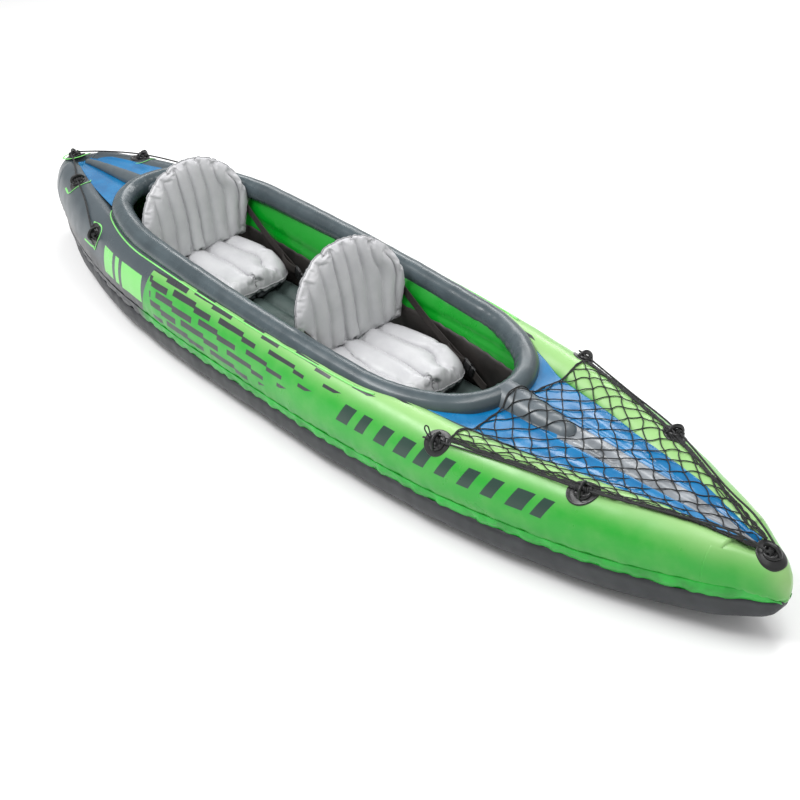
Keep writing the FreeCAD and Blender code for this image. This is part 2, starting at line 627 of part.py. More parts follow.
bow_route = BOW_FITTINGS + [(BOW_TIP_X, 0.0)]
first_x, first_y = BOW_FITTINGS[0]
for k, (x, y) in enumerate(BOW_FITTINGS):
    next_x, next_y = bow_route[k + 1]
    for side, sy in (("starboard", -1), ("port", 1)):
        at, n = site(x, sy * y)
        along = V(next_x - first_x, sy * (next_y - first_y), 0)
        place_fitting("bow_fitting_%s_%d" % (side, k + 1), at, n, along)
run_x = STERN_FITTINGS[1][0] - STERN_FITTINGS[0][0]
run_y = STERN_FITTINGS[1][1] - STERN_FITTINGS[0][1]
for k, (x, y) in enumerate(STERN_FITTINGS):
    for side, sy in (("starboard", -1), ("port", 1)):
        at, n = site(x, sy * y)
        along = V(run_x, sy * run_y, 0)
        place_fitting("stern_fitting_%s_%d" % (side, k + 1), at, n, along)
for key, x, lean in (("bow_fitting_tip", BOW_TIP_X, 0.16), ("stern_fitting_tip", STERN_TIP_X, -0.2)):
    place_fitting(key, V(x, 0, smooth(x, STATION, SHEER) - 1), V(lean, 0, 1), V(0, 1, 0))


def corner(before, at, after):
    """Directions in and out of a corner, its turn, the length trimmed from each run and the arc's radius."""
    a = at - before
    b = after - at
    trim = 0.45 * min(a.Length, b.Length)
    a.normalize()
    b.normalize()
    turn = a.getAngle(b)
    return a, b, turn, trim, trim / math.tan(max(turn, 1e-4) / 2)


def cord(points, radius):
    """Straight runs joined by tangent arcs."""
    here = points[0]
    volume = 0.0
    body = None
    for i in range(1, len(points) - 1):
        a, b, turn, trim, bend = corner(points[i - 1], points[i], points[i + 1])
        if turn < 1e-4:
            continue
        p = points[i] - a * trim
        q = points[i] + b * trim
        axis = a.cross(b)
        axis.normalize()
        centre = p + axis.cross(a) * bend
        run = (p - here).Length
        piece = Part.makeCylinder(radius, run, here, a)
        body = piece if body is None else body.fuse(piece)
        disc = Part.Face(Part.Wire([Part.Circle(p, a, radius).toShape()]))
        arc = disc.revolve(centre, axis, math.degrees(turn))
        body = body.fuse(arc)
        volume += math.pi * radius ** 2 * (run + bend * turn)
        here = q
    last = points[-1] - here
    run = last.Length
    last.normalize()
    body = body.fuse(Part.makeCylinder(radius, run, here, last))
    volume += math.pi * radius ** 2 * run
    body = body.removeSplitter()
    print("cord volume ratio", body.Volume / volume, body.isValid())
    return body


def over(x, y, lift):
    """Point straight above the chamber's upper skin."""
    return V(x, y, chamber_top(x, y) + lift)


def beside(x, y, lift):
    """Point off the chamber's upper skin along its normal."""
    at, n = site(x, y)
    return at + n * lift


def held_route(first, targets):
    """Corner points of a cord: its rounded corners pass through the targets, its end runs through first."""
    half = [first] + list(targets)
    tip = half[-1]
    pts = [V(p) for p in half] + [V(tip.x, -tip.y, tip.z)]
    for _ in range(CORNER_SWEEPS):
        for i in range(1, len(targets)):
            a, b, turn, trim, bend = corner(pts[i - 1], pts[i], pts[i + 1])
            if turn > 1e-3:
                inward = b - a
                inward.normalize()
                pts[i] = targets[i - 1] - inward * (bend * (1 / math.cos(turn / 2) - 1))
        lead = pts[1] - first
        lead.normalize()
        pts[0] = first - lead * CORD_TAIL
    half = pts[:-1]
    return half + [V(p.x, -p.y, p.z) for p in reversed(half)]


def tip_point(key):
    p = eyes[key]
    return V(p.x, TIP_HALF, p.z)


route = [eyes["bow_fitting_port_2"], over(1470, 88, 14), tip_point("bow_fitting_tip")]
shapes["deck_cord"] = cord(held_route(eyes["bow_fitting_port_1"], route), CORD_RADIUS)
route = [beside(-1135, 257, 12), over(-1260, 204, 10), eyes["stern_fitting_port_2"], over(-1550, 72, 10),
         tip_point("stern_fitting_tip")]
shapes["stern_line"] = cord(held_route(eyes["stern_fitting_port_1"], route), CORD_RADIUS)


# ---- cargo net: one thin draped sheet ----
def net_height(x, y):
    z = max(smooth(x, DECK_X, DECK_Z) + DECK_SKIN, chamber_top(x, y))
    if x < WEDGE_X[1] + WEDGE_R[1]:
        t = min((x - WEDGE_X[0]) / (WEDGE_X[1] - WEDGE_X[0]), 1)
        r = WEDGE_R[0] + (WEDGE_R[1] - WEDGE_R[0]) * t
        if abs(y) < r:
            z = max(z, WEDGE_Z + math.sqrt(r * r - y * y))
    return z


def net_rest(x, y):
    """Highest thing under the net within a hand's breadth of (x, y), and the lift above it."""
    near = [net_height(x + dx, y + dy) for dx in NET_REACH_X for dy in NET_REACH_Y]
    return max(near) + NET_LIFT


wires = []
for x in spread(NET_X[0], NET_X[-1], 16):
    w = smooth(x, NET_X, NET_HALF)
    low = [V(x, y, net_rest(x, y)) for y in spread(-w, w, 21)]
    up = [V(p.x, p.y, p.z + NET_THICK) for p in low]
    edges = [open_curve(low), Part.makeLine(low[-1], up[-1]),
             open_curve(list(reversed(up))), Part.makeLine(up[0], low[0])]
    wires.append(Part.Wire(edges))
shapes["cargo_net"] = Part.makeLoft(wires, True, True)

shapes["starboard_chamber"] = starboard_tube
shapes["port_chamber"] = port_tube
shapes["bow_cone"] = bow_cone
shapes["stern_cone"] = stern_cone
shapes["hull_bottom"] = bottom
shapes["floor_chamber"] = floor
shapes["coaming_ring"] = ring
shapes["foredeck_panel"] = foredeck
shapes["foredeck_strip"] = strip
shapes["foredeck_wedge"] = wedge
shapes["reardeck_panel"] = reardeck
shapes["reardeck_beam"] = beam
shapes["skeg_base"] = skeg

# the patches bed into the skins below them
SKINS = ["starboard_chamber", "port_chamber", "bow_cone", "stern_cone", "foredeck_panel", "reardeck_panel"]
for key in sorted(shapes):
    if "fitting" in key:
        for skin_name in SKINS:
            if shapes[key].BoundBox.intersect(shapes[skin_name].BoundBox):
                shapes[skin_name] = solid_of(shapes[skin_name].cut(shapes[key]))

for key in sorted(shapes):
    shapes[key] = save(key, shapes[key])

box = None
for shape in shapes.values():
    if box is None:
        box = shape.BoundBox
    else:
        box.add(shape.BoundBox)
print("box", box)
print(len(shapes), "nodes")
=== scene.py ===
import math

import bpy
import bmesh
import numpy as np
from mathutils import Matrix, Vector
from mathutils.geometry import delaunay_2d_cdt


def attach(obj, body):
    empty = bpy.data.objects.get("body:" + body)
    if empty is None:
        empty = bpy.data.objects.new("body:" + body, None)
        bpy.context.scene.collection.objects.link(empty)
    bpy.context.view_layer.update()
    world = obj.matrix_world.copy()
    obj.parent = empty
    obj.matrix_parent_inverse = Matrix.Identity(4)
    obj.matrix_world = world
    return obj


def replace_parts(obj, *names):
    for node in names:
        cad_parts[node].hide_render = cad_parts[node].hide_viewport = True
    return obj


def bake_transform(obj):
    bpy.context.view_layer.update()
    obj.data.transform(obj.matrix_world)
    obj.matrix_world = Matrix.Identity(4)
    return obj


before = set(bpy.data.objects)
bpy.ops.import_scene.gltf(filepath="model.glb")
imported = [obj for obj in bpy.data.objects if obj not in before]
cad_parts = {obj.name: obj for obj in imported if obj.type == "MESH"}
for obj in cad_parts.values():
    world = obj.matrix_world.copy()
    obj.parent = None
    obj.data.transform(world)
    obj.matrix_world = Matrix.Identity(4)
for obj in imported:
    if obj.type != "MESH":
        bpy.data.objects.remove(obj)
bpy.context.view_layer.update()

# Two-person inflatable kayak.  Metres, +X to the bow, +Y to port, +Z up.

TAU = 2 * math.pi
MM = 0.001
SIDES = {"starboard": -1, "port": 1}


# ---- numbers
def table(*values):
    """A list given in millimetres, as an array in metres."""
    return np.array(values, float) * MM


STATION = table(-1755, -1700, -1500, -1200, -800, -300, 200, 700, 1200, 1500, 1700, 1755)
HALF_BEAM = table(20, 83, 179, 276, 350, 380, 380, 352, 258, 156, 60, 22)
SHEER = table(235, 298, 332, 340, 343, 343, 335, 325, 315, 300, 267, 221)
SEAM = table(170, 130, 120, 112, 112, 112, 112, 112, 115, 125, 140, 150)
KEEL = table(122, 50, 11, 2, 0, 0, 0, 2, 12, 40, 86, 129)
FOOT = table(160, 108, 84, 66, 60, 60, 60, 60, 70, 90, 124, 140)
CHAMBER_HALF = table(60, 80, 86, 86, 74, 93, 93, 92, 95, 90, 60, 50)
CHAMBER_END = 1.600

DECK_X = table(600, 700, 800, 1000, 1250, 1500, 1650)
DECK_Z = table(316, 303, 290, 290, 290, 286, 262)
DECK_HALF = table(232, 208, 178, 148, 100, 48, 10)
STRIP_HALF = table(44, 44, 44, 42, 34, 20, 6)
REAR_X = table(-1610, -1500, -1300, -1150, -1000)
REAR_Z = table(299, 312, 326, 334, 341)
REAR_HALF = table(24, 68, 128, 164, 196)
FLOOR_X = table(-1100, -900, -640, 430, 640, 770)
FLOOR_HALF = table(74, 140, 180, 180, 150, 96)
SHEET = 1.2 * MM           # thickness of the deck skins and the floor skirts
ON_SKIN = 1.2 * MM         # gap that a sheet or a welt keeps over the tube it lies on


def smooth(x, xs, ys):
    """Shape-keeping curve through a short list of stations."""
    x = np.clip(np.asarray(x, float), xs[0], xs[-1])
    h = np.diff(xs)
    d = np.diff(ys) / h
    m = np.concatenate([[d[0]], np.zeros(len(xs) - 2), [d[-1]]])
    for i in range(1, len(xs) - 1):
        if d[i - 1] * d[i] > 0:
            w1 = 2 * h[i] + h[i - 1]
            w2 = h[i] + 2 * h[i - 1]
            m[i] = (w1 + w2) / (w1 / d[i - 1] + w2 / d[i])
    i = np.clip(np.searchsorted(xs, x) - 1, 0, len(xs) - 2)
    t = (x - xs[i]) / h[i]
    a = ys[i] * (1 + 2 * t) * (1 - t) ** 2 + m[i] * h[i] * t * (1 - t) ** 2
    return a + ys[i + 1] * t * t * (3 - 2 * t) + m[i + 1] * h[i] * t * t * (t - 1)


def step(x, low, high):
    """Smooth step from 0 at low to 1 at high."""
    t = np.clip((np.asarray(x, float) - low) / (high - low), 0, 1)
    return t * t * (3 - 2 * t)


def ripple(s, wave, seed=0.0):
    """Uneven wave of about unit height, for puckers and folds."""
    a = np.sin(TAU * s / wave + seed)
    b = np.sin(TAU * s / (wave * 0.618) + 1.7 * seed + 0.6)
    c = np.sin(TAU * s / (wave * 1.73) + 2.9 * seed + 2.1)
    return (a + 0.6 * b + 0.7 * c) / 1.7


def bell(d, width):
    return np.exp(-(np.asarray(d) / width) ** 2)


def turn_about(count):
    """Even angles round a full turn."""
    return np.arange(count) * TAU / count


def points(*xyz):
    """Row or grid of points out of its coordinates."""
    return np.stack(np.broadcast_arrays(*xyz), axis=-1)


def lobe(x):
    """Outer skin at a station: half beam, lobe half width, centre height, half height."""
    beam = smooth(x, STATION, HALF_BEAM)
    sheer = smooth(x, STATION, SHEER)
    foot = smooth(x, STATION, FOOT)
    ry = np.minimum(smooth(x, STATION, CHAMBER_HALF), beam / 2 - 3 * MM)
    ry = ry + (beam - ry) * step(np.abs(x), 1.580, 1.700)
    return beam, ry, (sheer + foot) / 2, (sheer - foot) / 2


def breadth(x, z, way=1):
    """Half breadth at a station and height, of the outer skin or (way -1) of the inner wall."""
    beam, ry, zc, rz = lobe(x)
    t = np.clip((z - zc) / rz, -1, 1)
    return beam - ry + way * ry * np.sqrt(1 - t * t)


def tube_top(x, y):
    """Height of the side chamber's upper skin."""
    beam, ry, zc, rz = lobe(x)
    t = np.clip((np.abs(y) - beam + ry) / ry, -1, 1)
    return zc + rz * np.sqrt(1 - t * t)


# ---- mesh helpers
def finish_mesh(name, verts, faces, mat, slot=None, body="hull", attrs=None):
    mesh = bpy.data.meshes.new(name)
    mesh.from_pydata([tuple(v) for v in verts], [], faces)
    mesh.validate()
    bm = bmesh.new()
    bm.from_mesh(mesh)
    bmesh.ops.recalc_face_normals(bm, faces=bm.faces)
    bm.to_mesh(mesh)
    bm.free()
    for p in mesh.polygons:
        p.use_smooth = True
    for key, values in (attrs or {}).items():
        layer = mesh.attributes.new(key, "FLOAT", "POINT")
        layer.data.foreach_set("value", np.asarray(values, np.float32).ravel())
    mesh.materials.append(mat)
    obj = bpy.data.objects.new(name, mesh)
    bpy.context.scene.collection.objects.link(obj)
    if body:
        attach(obj, body)
    return obj


def grid_faces(rows, cols, closed=False):
    faces = []
    for i in range(rows if closed else rows - 1):
        for j in range(cols):
            k, n = (j + 1) % cols, (i + 1) % rows
            faces.append((i * cols + j, i * cols + k, n * cols + k, n * cols + j))
    return faces


def solid_grid(grid, closed=False):
    """(verts, faces) of a skin round rings of points; open ends are capped by a fan."""
    rows, cols = grid.shape[:2]
    verts = [tuple(p) for p in grid.reshape(-1, 3)]
    faces = grid_faces(rows, cols, closed)
    for row in () if closed else (0, rows - 1):
        hub = len(verts)
        verts.append(tuple(grid[row].mean(0)))
        faces += [(hub, row * cols + j, row * cols + (j + 1) % cols) for j in range(cols)]
    return verts, faces


def loft(name, grid, mat, slot=None, body="hull", arc=None, closed=False):
    """One object from rings of points, with each point's arc length for the paint."""
    attrs = None if arc is None else {"arc": np.concatenate([arc.ravel(), [arc[0].mean(), arc[-1].mean()]])}
    return finish_mesh(name, *solid_grid(grid, closed), mat, slot, body, attrs)


def shell(name, grid, thick, mat, slot=None, attrs=None):
    """Closed thin skin on an open grid, thickened to the side away from its normals."""
    n = np.cross(np.gradient(grid, axis=0), np.gradient(grid, axis=1))
    back = grid - n / np.maximum(np.linalg.norm(n, axis=2, keepdims=True), 1e-12) * thick
    ring = np.concatenate([grid, back[:, ::-1]], axis=1)
    both = {k: np.concatenate([v, v[:, ::-1]], axis=1) for k, v in (attrs or {}).items()}
    rows, cols = ring.shape[:2]
    faces = grid_faces(rows, cols)
    for a in (0, (rows - 1) * cols):
        faces += [(a + j, a + j + 1, a + cols - 2 - j, a + cols - 1 - j) for j in range(cols // 2 - 1)]
    return finish_mesh(name, ring.reshape(-1, 3), faces, mat, slot, attrs=both)


def resample(line, gap, closed=False):
    """Points at an even gap along a polyline."""
    p = np.asarray(line, float)
    if closed:
        p = np.vstack([p, p[:1]])
    seg = np.linalg.norm(np.diff(p, axis=0), axis=1)
    s = np.concatenate([[0], np.cumsum(seg)])
    n = max(int(s[-1] / gap), 3)
    t = np.linspace(0, s[-1], n + 1)
    if closed:
        t = t[:-1]
    return np.stack([np.interp(t, s, q) for q in p.T], axis=1)


def spline(line, per):
    """Smooth curve through points (Catmull-Rom), per steps to a span."""
    p = np.asarray(line, float)
    p = np.vstack([2 * p[0] - p[1], p, 2 * p[-1] - p[-2]])
    out = []
    for a, b, c, d in zip(p, p[1:], p[2:], p[3:]):
        for t in np.arange(per) / per:
            out.append(0.5 * (2 * b + (c - a) * t + (2 * a - 5 * b + 4 * c - d) * t * t
                              + (3 * b - a - 3 * c + d) * t ** 3))
    return np.array(out + [p[-2]])


def path_frames(p, closed=False, up=(0, 0, 1)):
    """Side and up vectors along a path, without twist."""
    if closed:
        t = np.roll(p, -1, 0) - np.roll(p, 1, 0)
    else:
        t = np.gradient(p, axis=0)
    t = t / np.linalg.norm(t, axis=1, keepdims=True)
    u = np.array(up, float)
    if abs(u @ t[0]) > 0.9:
        u = np.array([1.0, 0, 0])
    side, top = [], []
    for ahead in t:
        u = u - (u @ ahead) * ahead
        u = u / np.linalg.norm(u)
        top.append(u)
        side.append(np.cross(ahead, u))
    return np.array(side), np.array(top)


def strand(line, radius, sides=10, closed=False, up=(0, 0, 1), squash=1.0):
    """(verts, faces) of a cord along a line; squash flattens it along up."""
    p = np.asarray(line, float)
    side, top = path_frames(p, closed, up)
    a = turn_about(sides)[None, :, None]
    ring = side[:, None] * np.cos(a) + squash * top[:, None] * np.sin(a)
    return solid_grid(p[:, None] + ring * radius, closed)


def arch(line, radius, sides, squash=1.0):
    return strand(spline(line, 8), radius, sides, squash=squash)


def tube(name, line, radius, mat, slot=None, body="hull", **form):
    return finish_mesh(name, *strand(line, radius, **form), mat, slot, body)


def joined(name, parts, mat, slot=None, body="hull"):
    """One mesh out of several (verts, faces) pairs."""
    verts, faces = [], []
    for v, f in parts:
        base = len(verts)
        verts.extend(v)
        faces.extend([tuple(k + base for k in q) for q in f])
    return finish_mesh(name, verts, faces, mat, slot, body)


def lathe(profile, sides):
    """Rings of a turned shape about local Z from (radius, height) pairs."""
    a = turn_about(sides)
    return np.array([[(r * math.cos(t), r * math.sin(t), h) for t in a] for r, h in profile])


def place(parts, matrix):
    return [([tuple(matrix @ Vector(p)) for p in v], f) for v, f in parts]


def axes_matrix(x, y, z, at):
    m = Matrix((x, y, z)).transposed().to_4x4()
    m.translation = at
    return m


# ---- materials
def sum_with(operation, turned=False):
    """A method that adds one Math node; turned for a number on the left."""
    def act(self, other):
        return self.paint.math(operation, *((other, self) if turned else (self, other)))
    return act


class Value:
    """An output in a material's node tree; arithmetic on it adds Math nodes."""

    def __init__(self, paint, socket):
        self.paint, self.socket = paint, socket

    __add__, __sub__, __mul__ = sum_with("ADD"), sum_with("SUBTRACT"), sum_with("MULTIPLY")
    __radd__, __rsub__, __truediv__ = sum_with("ADD", True), sum_with("SUBTRACT", True), sum_with("DIVIDE")
    __gt__, __lt__ = sum_with("GREATER_THAN"), sum_with("LESS_THAN")


class Paint:
    """A procedural material built round one Principled shader."""

    def __init__(self, name, rough):
        self.mat = bpy.data.materials.new(name)
        self.mat.use_nodes = True
        self.tree = self.mat.node_tree
        self.shader = self.tree.nodes["Principled BSDF"]
        self.shader.inputs["Roughness"].default_value = rough
        self.place = self.node("TexCoord", {}, "Object")
        self.x, self.y, self.z = [self.node("SeparateXYZ", {0: self.place}, k) for k in range(3)]

    def link(self, a, b):
        """A number or colour goes into the input, a value is wired to it."""
        if isinstance(a, Value):
            self.tree.links.new(a.socket, b)
        else:
            b.default_value = a + (1.0,) if isinstance(a, tuple) else a

    def node(self, kind, inputs, output=0, **settings):
        n = self.tree.nodes.new("ShaderNode" + kind)
        for key, value in settings.items():
            setattr(n, key, value)
        for key, value in inputs.items():
            self.link(value, n.inputs[key])
        return Value(self, n.outputs[output])

    def math(self, operation, *args):
        return self.node("Math", dict(enumerate(args)), operation=operation)

    def attr(self, name):
        return self.node("Attribute", {}, "Fac", attribute_name=name)

    def noise(self, scale, detail, rough):
        inputs = {"Scale": scale, "Detail": detail, "Roughness": rough, "Vector": self.place}
        return self.node("TexNoise", inputs, "Fac")

    def random(self, x, y):
        at = self.node("CombineXYZ", {0: x, 1: y, 2: 0.0})
        return self.node("TexWhiteNoise", {"Vector": at}, "Value", noise_dimensions="2D")

    def ramp(self, fac, low, high, a=0.0, b=1.0):
        """Smooth step of fac, from a at low to b at high."""
        return self.node("MapRange", dict(enumerate((fac, low, high, a, b))), interpolation_type="SMOOTHSTEP")

    def mix(self, fac, a, b):
        return self.node("Mix", {0: fac, 6: a, 7: b}, 2, data_type="RGBA")

    def every(self, first, *others):
        """1 where all the conditions hold."""
        for part in others:
            first = first * part
        return first

    def color(self, value):
        self.link(value, self.shader.inputs["Base Color"])

    def bump(self, height, distance, strength=1.0):
        bumped = self.node("Bump", {"Distance": distance, "Strength": strength, "Height": height})
        self.link(bumped, self.shader.inputs["Normal"])


def rgb(*screen):
    """Screen colour, 0 to 255, as linear light."""
    return tuple(c / 255 / 12.92 if c / 255 <= 0.04045 else ((c / 255 + 0.055) / 1.055) ** 2.4 for c in screen)


GREEN = rgb(34, 160, 44)
# pale green painted on the tube's top as a highlight
GREEN_TOP_HIGHLIGHT = rgb(144, 190, 118)
# darker green painted on the tube's lower side as shade
GREEN_LOW_SHADE = rgb(10, 140, 34)
GREEN_DEEP = rgb(0, 142, 30)
GREEN_SHADE = rgb(34, 62, 52)
LIME = rgb(122, 208, 108)
SLATE = rgb(64, 74, 80)
SLATE_LIGHT = rgb(76, 87, 93)
CHARCOAL = rgb(52, 54, 58)
CHARCOAL_LOW = rgb(40, 42, 45)
BLUE = rgb(0, 96, 148)
STRIPE = rgb(100, 105, 110)
SEAT, SEAT_LIGHT = rgb(184, 184, 187), rgb(194, 194, 196)


def vinyl_finish(p, rough=(0.26, 0.42)):
    """Soft-gloss vinyl: slow ripples, fine grain and uneven gloss."""
    slow = p.noise(14, 3, 0.55)
    p.bump(slow * 0.6 + p.noise(900, 2, 0.6) * 0.06, 1 * MM)
    p.link(p.ramp(p.noise(6, 4, 0.6), 0.3, 0.7, *rough), p.shader.inputs["Roughness"])
    return slow


def vinyl(name, base, light, rough):
    """Plain coloured vinyl with a little unevenness in its colour."""
    p = Paint(name, rough[0])
    p.color(p.mix(p.ramp(vinyl_finish(p, rough), 0.25, 0.75), base, light))
    return p.mat


def hull_paint():
    """Green side chamber with a painted highlight along its top and painted shade down its lower side: printed
    dashes midships, slate stern with green blocks, slanted bars forward.
    """
    p = Paint("side_vinyl", 0.3)
    slow = vinyl_finish(p)
    arc = p.attr("arc")
    x = p.x
    # painted highlight: the top of the tube is mixed toward a pale green
    green = p.mix(p.ramp(arc, 0.0, 0.11), GREEN_TOP_HIGHLIGHT, GREEN)
    # painted shade: the lower side of the tube, above the seam band, is mixed toward a darker green
    green = p.mix(p.ramp(arc, 0.15, 0.27), green, GREEN_LOW_SHADE)
    # slow noise also mixes in a little of the pale highlight green, at random
    green = p.mix(p.ramp(slow, 0.35, 0.7, 0.0, 0.12), green, GREEN_TOP_HIGHLIGHT)
    # dashes: one row to a lane, each dash in two halves set half its height apart
    first_lane, last_lane, lane_tall, dash_pitch = -0.022, 0.216, 0.041, 0.262
    lane_at = (arc - first_lane) / lane_tall
    lane = p.math("FLOOR", lane_at)
    inside = p.math("FRACT", lane_at)
    aft = p.ramp(x, -0.50, 0.45, 1.0, 0.0)
    run = p.math("FRACT", x / dash_pitch + lane * 0.37)
    half = run > 0.30 + p.random(lane, 3.0) * 0.25
    low_edge = 0.08 + half * 0.28
    tall = 0.25 + aft * 0.31
    dash = p.every(inside > low_edge, inside < low_edge + tall, run < 0.66 + aft * 0.22, x < 0.58 - arc * 2.7,
                   x > -0.62 + arc * 0.2, arc < last_lane, arc > first_lane)
    body = p.mix(dash, green, CHARCOAL)
    # slate tongue between the rim and the first row of dashes
    tongue = p.every(arc < p.ramp(x, -0.60, -0.05, 0.040, -0.03), x < -0.05, arc > -0.030)
    body = p.mix(tongue, body, SLATE)
    # slanted bars along the forward side
    bar_start, bar_end, bar_pitch = 0.43, 1.21, 0.078
    slant = x + (arc - 0.11) * 0.45
    pitch = (slant - bar_start) / bar_pitch
    filled = p.math("FRACT", pitch) < 0.42 + p.random(p.math("FLOOR", pitch), 7.0) * 0.34
    bar = p.every(filled, slant > bar_start, slant < bar_end, p.math("ABSOLUTE", arc - 0.114) < 0.030)
    body = p.mix(bar, body, GREEN_SHADE)
    # slate stern, with three green blocks
    slate = p.mix(p.ramp(slow, 0.3, 0.7, 0.0, 0.3), SLATE, SLATE_LIGHT)
    slate = p.mix(p.ramp(arc, 0.14, 0.20), slate, CHARCOAL)
    gaps = [p.math("ABSOLUTE", x + at) > 0.011 for at in (0.862, 0.812)]
    block = p.every(x > -0.945, x < -0.655, *gaps, arc > 0.085, arc < 0.185)
    body = p.mix(x < -0.585 + arc * -0.35, body, p.mix(block, slate, LIME))
    # inner wall: deeper green, starting lower in the cockpit
    cockpit = p.math("MINIMUM", p.ramp(x, 0.40, 0.70, 0.030, 0.0), p.ramp(x, -1.00, -0.80, 0.0, 0.030))
    p.color(p.mix(p.ramp(arc - cockpit, -0.085, -0.050, 1.0, 0.0), body, GREEN_DEEP))
    return p.mat


def band_paint():
    """The seam band: deep green forward, charcoal at the stern."""
    p = Paint("seam_band_vinyl", 0.32)
    green = p.mix(p.ramp(vinyl_finish(p), 0.3, 0.7), GREEN_DEEP, rgb(22, 176, 50))
    p.color(p.mix(p.ramp(p.x, -0.72, -0.60), CHARCOAL, green))
    return p.mat


def deck_paint(name, stripe):
    """Blue deck skin with a flat mauve-grey middle strip, or plain blue."""
    p = Paint(name, 0.26)
    slow = vinyl_finish(p, (0.18, 0.32))
    blue = p.mix(p.ramp(slow, 0.3, 0.7), BLUE, rgb(4, 112, 166))
    if stripe:
        inside = p.ramp(p.attr("strip"), -0.0004, 0.0004)
        blue = p.mix(inside, blue, p.mix(p.ramp(slow, 0.3, 0.7), STRIPE, rgb(140, 145, 150)))
    p.color(blue)
    return p.mat


def seat_cushion_paint():
    """Light grey top with a dark underside below the edge weld."""
    p = Paint("seat_cushion_vinyl", 0.42)
    top = p.mix(p.ramp(vinyl_finish(p, (0.36, 0.5)), 0.25, 0.75), SEAT, SEAT_LIGHT)
    p.color(p.mix(p.ramp(p.attr("over"), -0.95, -0.75), rgb(58, 62, 65), top))
    return p.mat


def cord_paint(name, base, light):
    """Braided cord: two crossed sets of strands from position."""
    p = Paint(name, 0.7)
    weave = p.math("SINE", (p.x + p.y * 1.3) * 3200) * p.math("SINE", (p.z - p.y * 0.8) * 3200)
    p.color(p.mix(p.ramp(weave, -1, 1), base, light))
    p.bump(weave, 0.2 * MM, 0.7)
    return p.mat


MAT = {key: vinyl(*recipe) for key, recipe in {
    "bottom": ("bottom_vinyl", CHARCOAL_LOW, CHARCOAL, (0.42, 0.6)),
    "coaming": ("coaming_vinyl", rgb(56, 67, 72), rgb(70, 82, 87), (0.24, 0.34)),
    "grey": ("deck_grey_vinyl", rgb(84, 92, 97), rgb(98, 106, 112), (0.25, 0.4)),
    "beam": ("beam_vinyl", SLATE, SLATE_LIGHT, (0.28, 0.42)),
    "floor": ("floor_vinyl", rgb(58, 70, 68), rgb(72, 86, 83), (0.42, 0.6)),
    "skirt": ("skirt_vinyl", rgb(36, 34, 33), rgb(52, 48, 46), (0.45, 0.6)),
    "lime": ("lime_vinyl", LIME, rgb(140, 225, 130), (0.3, 0.4)),
    "seat": ("seat_vinyl", SEAT, SEAT_LIGHT, (0.4, 0.55)),
    "panel": ("seat_back_vinyl", rgb(62, 68, 72), rgb(80, 88, 92), (0.4, 0.55)),
    "black": ("moulded_black", rgb(20, 20, 21), rgb(34, 34, 35), (0.25, 0.4)),
    "clear": ("stopper_soft", rgb(150, 152, 152), rgb(170, 172, 172), (0.4, 0.5)),
    "welt": ("welt_vinyl", rgb(150, 151, 153), rgb(178, 178, 180), (0.4, 0.5)),
}.items()}
MAT["side"] = hull_paint()
MAT["band"] = band_paint()
MAT["foredeck"] = deck_paint("foredeck_vinyl", True)
MAT["reardeck"] = deck_paint("reardeck_vinyl", False)
MAT["cushion"] = seat_cushion_paint()
MAT["cord"] = cord_paint("cord_braid", rgb(16, 17, 17), rgb(42, 43, 44))
MAT["webbing"] = cord_paint("webbing_weave", rgb(30, 26, 24), rgb(58, 52, 49))


# ---- hull
def side_chamber(side, name):
    """One side tube: an oval skin with a crease over the seam band and a weld line inside."""
    x = np.linspace(-CHAMBER_END, CHAMBER_END, 421)[:, None]
    th = turn_about(88)
    beam, ry, zc, rz = lobe(x)
    y = beam - ry + ry * np.sin(th)
    z = zc + rz * np.cos(th)
    ny = np.sin(th) / ry
    nz = np.cos(th) / rz
    size = np.sqrt(ny * ny + nz * nz)
    ny, nz = ny / size, nz / size
    out = step(np.sin(th), 0.1, 0.5)
    above = z - (smooth(x, STATION, SEAM) + 0.036)
    low = out * bell(above - 0.004, 0.008) * -0.0016
    low = low + out * bell(above - 0.014, 0.020) * 0.0012 * ripple(x, 0.062, 1.5 + side)
    inner = step(-np.sin(th), 0.3, 0.7)
    weld = 0.262 + 0.008 * np.sin(x * 3.1)
    low = low - inner * bell(z - weld, 0.008) * 0.0050
    low = low + inner * bell(z - weld, 0.05) * 0.0014 * ripple(x, 0.09, 2 + side)
    low = low + 0.0005 * ripple(x, 0.31, 4) + 0.0004 * ripple(x + 0.3 * z, 0.13, 1)
    low = low * step(CHAMBER_END - np.abs(x), 0.0, 0.03)
    grid = points(x, (y + ny * low) * side, z + nz * low)
    seg = np.linalg.norm(np.diff(np.concatenate([grid, grid[:, :1]], 1), axis=1), axis=2)
    arc = np.concatenate([np.zeros((len(x), 1)), np.cumsum(seg, 1)[:, :-1]], 1)
    around = seg.sum(1, keepdims=True)
    arc = np.where(arc > around / 2, arc - around, arc)
    return loft(name, grid, MAT["side"], "side_green", arc=arc)


for word, s in SIDES.items():
    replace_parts(side_chamber(s, word + "_chamber_skin"), word + "_chamber")


